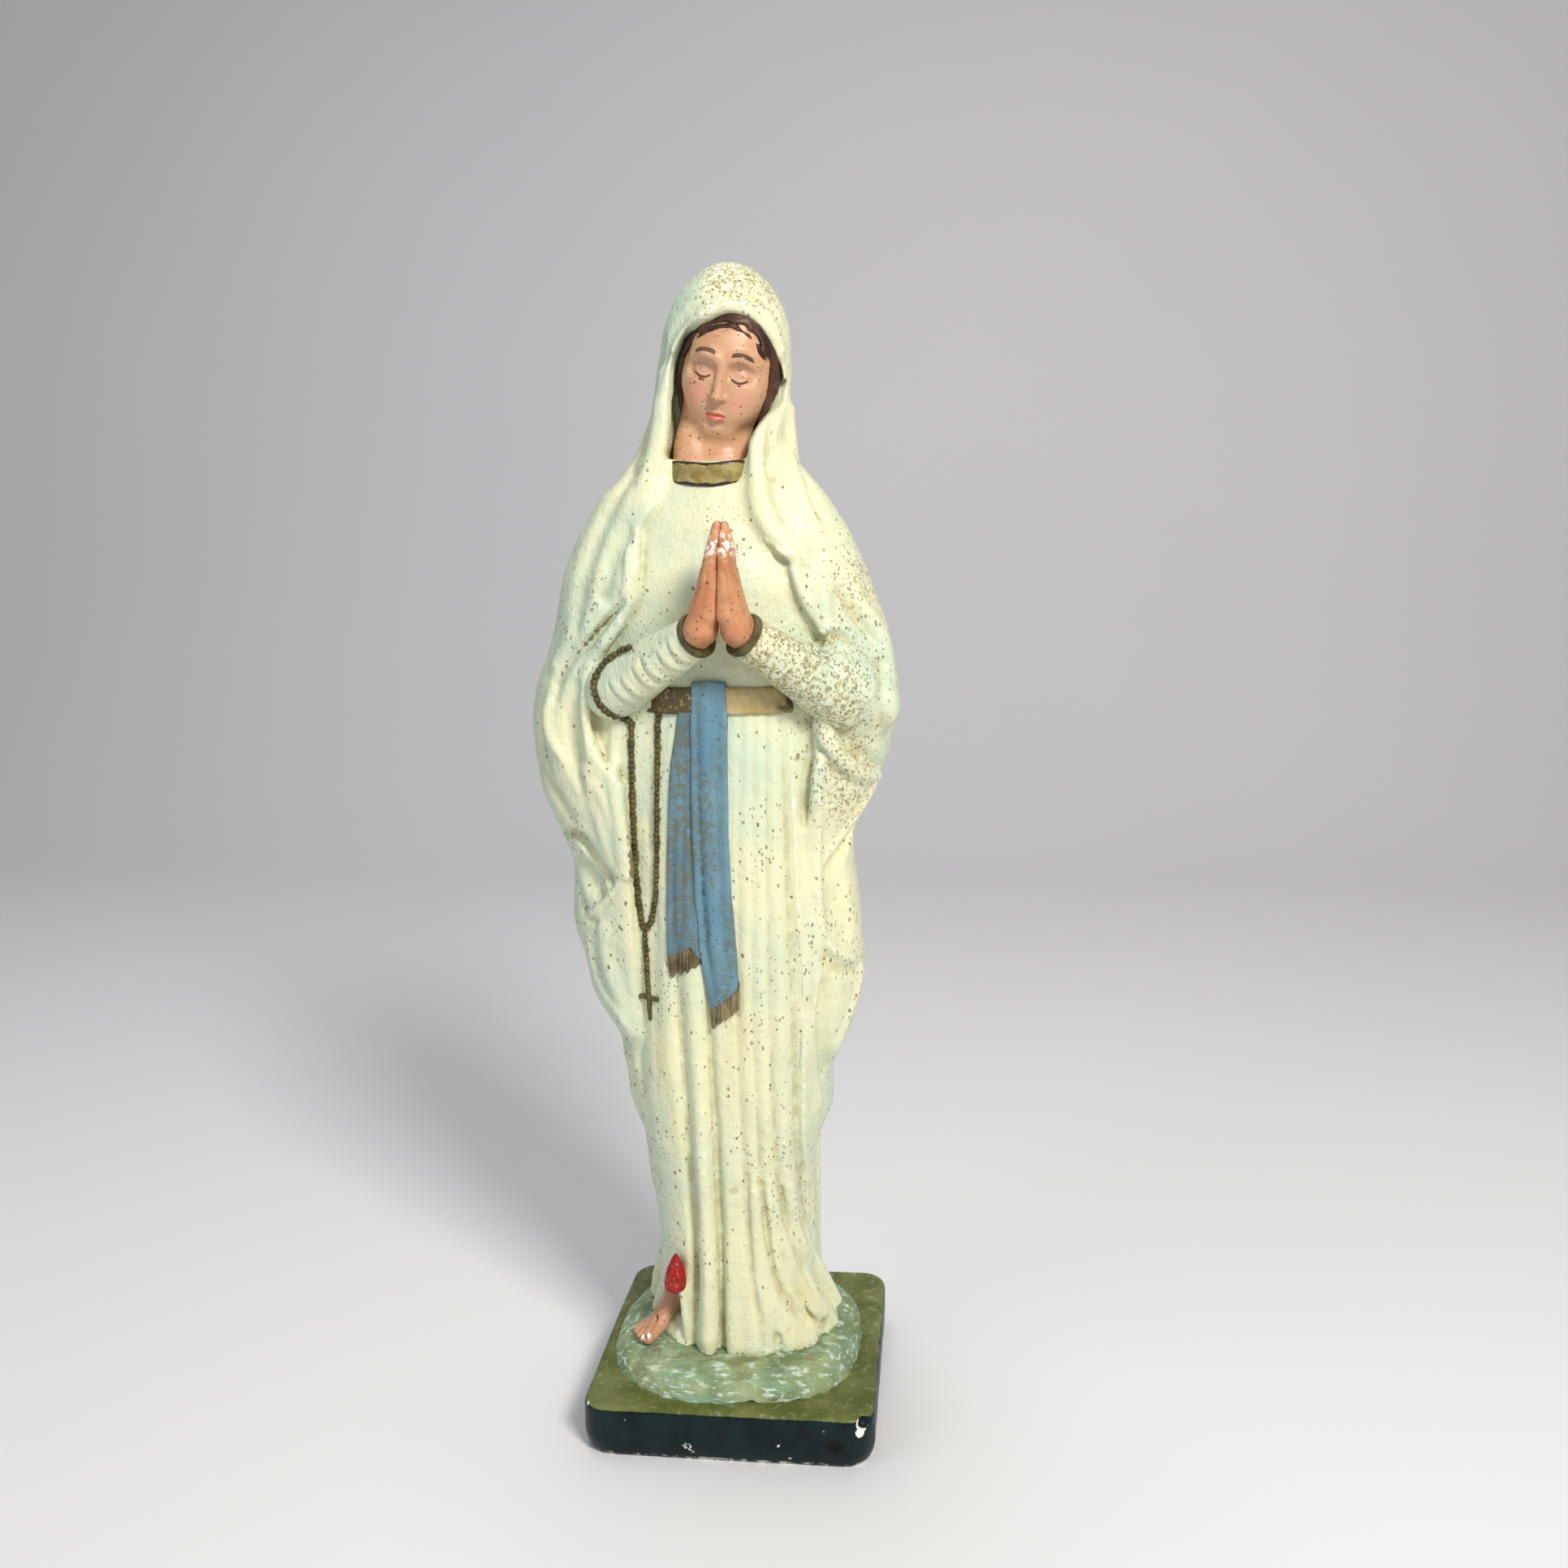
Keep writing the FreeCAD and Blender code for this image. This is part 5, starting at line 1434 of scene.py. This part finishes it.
def collar_paint():
    """Old gold with a dark outline."""
    n = Nodes("collar_gold")
    tone = n.ramp(n.noise(160.0, 4.0), 0.35, 0.65)
    colour = n.mix(tone, (0.21, 0.155, 0.035), (0.36, 0.30, 0.11))
    ragged = n.math("ADD", n.value("line"), n.about_zero(n.noise(500.0, 3.0), 0.9))
    colour = n.mix(n.ramp(ragged, 0.45, 0.62), colour, (0.035, 0.018, 0.008))
    n.bump((n.noise(300.0, 3.0), 0.25),)
    return n.finish(colour, 0.42)


def plinth_paint():
    """Dark blue-green sides, an olive top, and bare plaster where it is chipped."""
    n = Nodes("plinth_green")
    tone = n.ramp(n.noise(60.0, 4.0), 0.3, 0.7)
    side = n.mix(tone, (0.0010, 0.007, 0.009), (0.003, 0.017, 0.020))
    top = n.mix(n.ramp(n.noise(45.0, 5.0, 0.65), 0.36, 0.62), (0.085, 0.105, 0.018), (0.16, 0.175, 0.055))
    top = n.mix(n.times(n.ramp(n.noise(240.0, 4.0), 0.56, 0.70), 0.5), top, (0.30, 0.33, 0.22))
    seam = n.math("ADD", n.value("top"), n.about_zero(n.noise(90.0, 3.0), 0.8))
    colour = n.mix(n.ramp(seam, 0.35, 0.75), side, top)
    scuff = n.times(n.ramp(n.axis("Z"), 0.0030, 0.0006), n.ramp(n.noise(140.0, 5.0, 0.7), 0.53, 0.57))
    ragged = n.about_zero(n.noise(260.0, 3.0), 1.4)
    lost = n.math("ADD", n.value("lost"), n.times(ragged, n.ramp(n.value("lost"), 0.0, 0.2)))
    colour = n.mix(n.ramp(lost, 0.45, 0.60), colour, (0.001, 0.001, 0.001))
    bare = n.math("ADD", n.value("bare"), n.about_zero(n.noise(600.0, 4.0, 0.7), 1.3))
    colour = n.mix(n.math("MAXIMUM", n.ramp(bare, 0.46, 0.56), scuff), colour, (0.80, 0.78, 0.70))
    rubbed = n.times(n.ramp(n.value("hollow"), -0.5, -1.2), n.ramp(n.noise(300.0, 4.0), 0.50, 0.60))
    colour = n.over(colour, (0.16, 0.20, 0.14), rubbed, 0.35)
    n.bump((n.noise(90.0, 5.0), 0.6), (n.noise(600.0, 3.0), 0.12))
    material = n.finish(colour, n.math("ADD", 0.30, n.times(tone, 0.18)))
    n.bsdf.inputs["Specular IOR Level"].default_value = 0.22
    return material


def ground_paint():
    """Grey-green ground dry-brushed with white, turquoise and olive, with painted shade and dirt in its
    hollows.
    """
    n = Nodes("ground_green")
    sweep = n.stretch((0.5, 1.0, 2.2))
    colour = n.mix(n.ramp(n.noise(40.0, 4.0), 0.38, 0.62), (0.17, 0.235, 0.105), (0.34, 0.42, 0.22))
    colour = n.over(colour, (0.24, 0.44, 0.34), n.ramp(n.noise(60.0, 5.0, 0.7, sweep), 0.44, 0.62), 0.5)
    colour = n.over(colour, (0.62, 0.72, 0.62), n.ramp(n.noise(230.0, 5.0, 0.66, sweep, 0.3), 0.53, 0.62),
                    0.9)
    colour = n.over(colour, (0.16, 0.145, 0.065), n.ramp(n.noise(42.0, 5.0, 0.7), 0.50, 0.66), 0.65)
    colour = n.over(colour, (0.30, 0.39, 0.15), n.ramp(n.noise(170.0, 4.0, 0.7, sweep, 0.3), 0.54, 0.66), 0.6)
    # Painted shade and dirt: near-black in the hollows of the ground.
    dirt = n.times(n.ramp(n.value("hollow"), 0.05, 0.7), n.ramp(n.noise(300.0, 4.0), 0.35, 0.6))
    colour = n.over(colour, (0.07, 0.06, 0.03), dirt, 0.7)
    n.bump((n.noise(120.0, 5.0, 0.65, sweep), 2.2), (n.noise(480.0, 3.0), 0.4))
    return n.finish(colour, 0.55)


# ---------------------------------------------------------------- the figure
def build_figure():
    """Every visible piece."""
    cloth = ivory("mantle_ivory", 1.0, 2.2)
    gown = ivory("gown_ivory", 1.0)
    sleeve_paint = ivory("sleeve_ivory", 1.2, 2.0)
    skirt, bodice = make_gown()
    finish_clay(skirt, "robe_skirt_gown", gown, "robe_skirt", [(0.30, 15.0), (0.13, 5.0)], 1, 3.0,
                extra=skirt_values)
    finish_clay(bodice, "bodice_gown", gown, "bodice", [(0.35, 16.0), (0.14, 5.0)], 2, 3.0)
    mantle = make_mantle()
    split_mantle(mantle, cloth)

    hand_paint = flesh("hand_flesh", (0.47, 0.180, 0.075), (0.58, 0.28, 0.14))
    cuff_paint = paint("cuff_olive", (0.060, 0.050, 0.014), (0.14, 0.115, 0.04), (0.02, 0.016, 0.006), 0.2,
                       120.0, 0.45, 0.8)
    sleeves = {side: make_sleeve(side) for side in (-1, 1)}
    for side, name in ((-1, "right"), (1, "left")):
        finish_clay(sleeves[side], f"sleeve_{name}_cloth", sleeve_paint, f"sleeve_{name}",
                    [(0.12, 8.0), (0.06, 3.0)], 30 + side, 2.0, extra=sleeve_values)
        finish_clay(make_cuff(side), f"cuff_{name}_band", cuff_paint, f"cuff_{name}", [(0.25, 5.0)],
                    40 + side, 1.5)
        finish_clay(make_hand(side), f"hand_{name}_flesh", hand_paint, f"hand_{name}", [(0.06, 4.0)],
                    50 + side, 1.5, extra=hand_values)

    place = head_matrix()
    finish_clay(make_head(), "head_face", flesh("face_flesh", (0.57, 0.300, 0.165), (0.63, 0.38, 0.23)),
                "head", [(0.08, 6.0)], 60, 1.5, place, face_values)
    hair = paint("hair_brown", (0.030, 0.011, 0.006), (0.085, 0.032, 0.015), dirt=0.7, rough=0.45)
    finish_clay(make_hair(), "hair_waves", hair, "hair", [(0.40, 2.6)], 61, 1.0, place)
    finish_clay(make_collar(), "collar_band_gold", collar_paint(), "collar_band", [(0.15, 6.0)], 62, 1.5,
                extra=collar_values)

    blue = paint("sash_blue", (0.100, 0.225, 0.315), (0.17, 0.30, 0.36), (0.05, 0.06, 0.04), 0.6, 50.0, 0.42,
                 0.95, stains=0.75, clean=0.44)
    dull = paint("sash_blue_dull", (0.090, 0.19, 0.27), (0.15, 0.25, 0.30), (0.05, 0.05, 0.03), 0.55, 60.0,
                 0.45, 0.95, stains=0.95, clean=0.34)
    fringe_paint = paint("fringe_olive", (0.085, 0.068, 0.025), (0.27, 0.22, 0.11), (0.03, 0.025, 0.012), 0.2,
                         160.0, 0.55, 0.9)
    long, short, fringes = make_sash()
    finish_clay(long, "sash_long_ribbon", blue, "sash_long_tail", [(0.12, 7.0)], 70, 1.8)
    finish_clay(short, "sash_short_ribbon", dull, "sash_short_tail", [(0.12, 7.0)], 71, 1.8)
    finish_clay(fringes[0], "sash_long_fringe_threads", fringe_paint, "sash_long_fringe", [], 72, 1.0)
    finish_clay(fringes[1], "sash_short_fringe_threads", fringe_paint, "sash_short_fringe", [], 73, 1.0)
    finish_clay(make_belt(), "belt_band", belt_paint(), "belt", [(0.12, 6.0)], 74, 1.5)

    foot_paint = flesh("foot_flesh", (0.56, 0.29, 0.17), (0.66, 0.40, 0.27))
    finish_clay(make_foot(), "foot_right_flesh", foot_paint, "foot_right", [(0.08, 4.0)], 80, 1.5,
                extra=foot_values)
    rose = paint("rose_red", (0.36, 0.006, 0.005), (0.25, 0.022, 0.012), (0.26, 0.13, 0.04), 0.5, 300.0, 0.30,
                 1.0)
    finish_clay(make_rose(), "rose_petals", rose, "rose", [(0.25, 2.2)], 81, 1.0)
    finish_clay(make_mound(), "ground_mound_earth", ground_paint(), "ground_mound",
                [(0.55, 9.0), (0.30, 3.5)], 90, 2.5)
    finish_clay(make_plinth(), "plinth_slab", plinth_paint(), "plinth", [(0.14, 18.0), (0.06, 4.0)], 91, 2.5,
                extra=chip_values)
    build_rosary(skirt, (mantle, sleeves[-1]))
    rod_iron = iron()
    for node in ("spine_rod", "plinth_tie_rods", "wrist_pin_right", "wrist_pin_left"):
        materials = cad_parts[node].data.materials
        materials.clear()
        materials.append(rod_iron)


def skirt_values(vertices):
    """Darker along the hem, and dark round the rosary."""
    x, y, z = vertices.T
    hem = np.clip((46 - z) / 6, 0, 1) * 0.3
    return {"grime": np.maximum(hem, 0.8 * near_runs(vertices, ROSARY_RUNS, 3.4))}


def sleeve_values(vertices):
    """Specks on the left sleeve, darker towards its cuff, and dark under the rosary."""
    x, y, z = vertices.T
    left = np.clip((x - 8) / 10, 0, 1)
    cuff = np.clip((26 - x) / 14, 0, 1) * left
    return {"dusty": left, "grime": np.maximum(0.36 * cuff, near_runs(vertices, [LOOP_RUN], 3.6) * 0.95)}


def hand_values(vertices):
    """Worn paint near the fingertips."""
    z = vertices[:, 2]
    return {"worn": np.exp(-(((z - 463) / 5.0) ** 2))}


def front_of(lumps, x, z):
    """The foremost surface of several lumps at x and z."""
    depths = [c.face_at(x, z) for c in lumps if c.low[0] < x < c.axes[0][-1] and c.low[2] < z < c.axes[2][-1]]
    return min((d for d in depths if d is not None), default=-42.0)


def build_rosary(skirt, others):
    """Beads that hang from the right forearm in two strands, meet, and end in a cross."""
    gold = paint("bead_gold", (0.046, 0.034, 0.008), (0.125, 0.098, 0.026), (0.016, 0.012, 0.005), 0.35,
                 300.0, 0.42, 0.9)
    radius = 1.5
    centres = []
    for run in ROSARY_RUNS:
        for x, z in evenly(run, 1.75 * radius):
            centres.append((x, front_of((skirt, others[0]), x, z) - 0.30 * radius, z))
    bead_mesh("rosary_strands_beads", centres, radius, gold, "rosary_strands", 101)

    loop = [(x, front_of(others, x, z) - 0.3 * radius, z) for x, z in evenly(LOOP_RUN, 1.95 * radius)]
    bead_mesh("rosary_arm_loop_beads", loop, 1.2 * radius, gold, "rosary_arm_loop", 102)

    y = skirt.face_at(-41.0, 232) or -40.0
    c = Clay((-50, y - 9, 218), (-31, y + 9, 242), 0.3)
    c.stroke([(-41.2, y - 0.7, 239.0), (-40.6, y - 0.7, 223.0)], [1.4, 1.1], 0.4)
    arms = [(x, front_of((skirt, others[0]), x, 234) - 0.6, 234.2) for x in (-45.6, -41.0, -36.4)]
    c.stroke(arms, [1.3, 1.3, 1.3], 0.4)
    finish_clay(c, "rosary_cross_gold", gold, "rosary_cross", [(0.08, 1.5)], 103, 0.8)


def iron():
    """Rough rusted rod, which stays inside the plaster."""
    n = Nodes("iron")
    rust = n.ramp(n.noise(300.0, 5.0, 0.7), 0.42, 0.62)
    colour = n.mix(rust, (0.055, 0.052, 0.050), (0.17, 0.065, 0.025))
    n.bump((n.noise(700.0, 4.0), 0.3),)
    return n.finish(colour, n.math("ADD", 0.45, n.times(rust, 0.35)))


# ---------------------------------------------------------------- studio
def build_studio():
    """A pale curved sweep and soft lights."""
    mesh = bpy.data.meshes.new("sweep")
    half_width, front, bend, radius, top, steps = 4.0, -3.0, 1.2, 0.8, 5.0, 12
    side_view = [(front, 0.0), (bend, 0.0)]
    for i in range(1, steps + 1):
        a = math.pi / 2 * i / steps
        side_view.append((bend + radius * math.sin(a), radius - radius * math.cos(a)))
    side_view.append((bend + radius, top))
    vertices = [(side * half_width, y, z) for y, z in side_view for side in (-1, 1)]
    faces = [(2 * i, 2 * i + 1, 2 * i + 3, 2 * i + 2) for i in range(len(side_view) - 1)]
    mesh.from_pydata(vertices, [], faces)
    mesh.polygons.foreach_set("use_smooth", np.ones(len(mesh.polygons), bool))
    n = Nodes("sweep_grey")
    n.finish(n.mix(n.noise(2.0, 2.0), (0.74, 0.73, 0.74), (0.77, 0.76, 0.77)), 0.7)
    mesh.materials.append(n.material)
    sweep = bpy.data.objects.new("sweep", mesh)
    bpy.context.scene.collection.objects.link(sweep)

    for name, place, aim, size, power, colour in (
        ("key", (0.9, -1.3, 1.5), (0, 0, 0.33), 0.5, 38.5, (1.0, 0.97, 0.91)),
        ("fill", (-1.4, -1.1, 0.9), (0, 0, 0.30), 1.2, 7.0, (0.90, 0.97, 1.0)),
        ("top", (-0.2, 0.3, 1.9), (0, 0, 0.3), 0.8, 9.0, (1.0, 1.0, 1.0)),
    ):
        lamp = bpy.data.lights.new(name, "AREA")
        lamp.size, lamp.energy, lamp.color = size, power, colour
        ob = bpy.data.objects.new(name, lamp)
        ob.matrix_world = Matrix.Translation(place) @ _facing(np.array(place) - np.array(aim))
        bpy.context.scene.collection.objects.link(ob)
    world = bpy.data.worlds.new("soft")
    world.use_nodes = True
    background = world.node_tree.nodes["Background"]
    background.inputs["Color"].default_value = (0.90, 0.92, 1.0, 1.0)
    background.inputs["Strength"].default_value = 0.25
    bpy.context.scene.world = world


def _facing(way):
    """A turn that points an object's own -Z away from way."""
    z = way / np.linalg.norm(way)
    x = np.cross((0, 0, 1.0), z)
    x /= np.linalg.norm(x)
    return Matrix((x, np.cross(z, x), z)).transposed().to_4x4()


CAMERA_PLACE = (0.10785, -0.73937, 0.46695)
CAMERA_YAW, CAMERA_PITCH, CAMERA_ROLL = -6.304, 9.729, -0.766  # degrees; pitch is downwards
CAMERA_LENS = 33.32


def build_camera():
    """The camera at its place, a little above and to the figure's left of centre, aimed by yaw, pitch and
    roll.
    """
    camera = bpy.data.cameras.new("camera")
    camera.sensor_width, camera.lens = 36.0, CAMERA_LENS
    camera.clip_start = 0.02
    ob = bpy.data.objects.new("camera", camera)
    yaw, pitch, roll = (math.radians(v) for v in (CAMERA_YAW, CAMERA_PITCH, CAMERA_ROLL))
    ahead = np.array((math.sin(yaw) * math.cos(pitch), math.cos(yaw) * math.cos(pitch), -math.sin(pitch)))
    level = np.array((math.cos(yaw), -math.sin(yaw), 0.0))
    above = np.cross(level, ahead)
    right = math.cos(roll) * level + math.sin(roll) * above
    up = -math.sin(roll) * level + math.cos(roll) * above
    ob.matrix_world = Matrix.Translation(CAMERA_PLACE) @ Matrix((right, up, -ahead)).transposed().to_4x4()
    bpy.context.scene.collection.objects.link(ob)
    bpy.context.scene.camera = ob


bpy.context.scene.view_settings.view_transform = "Standard"
build_figure()
build_studio()
build_camera()
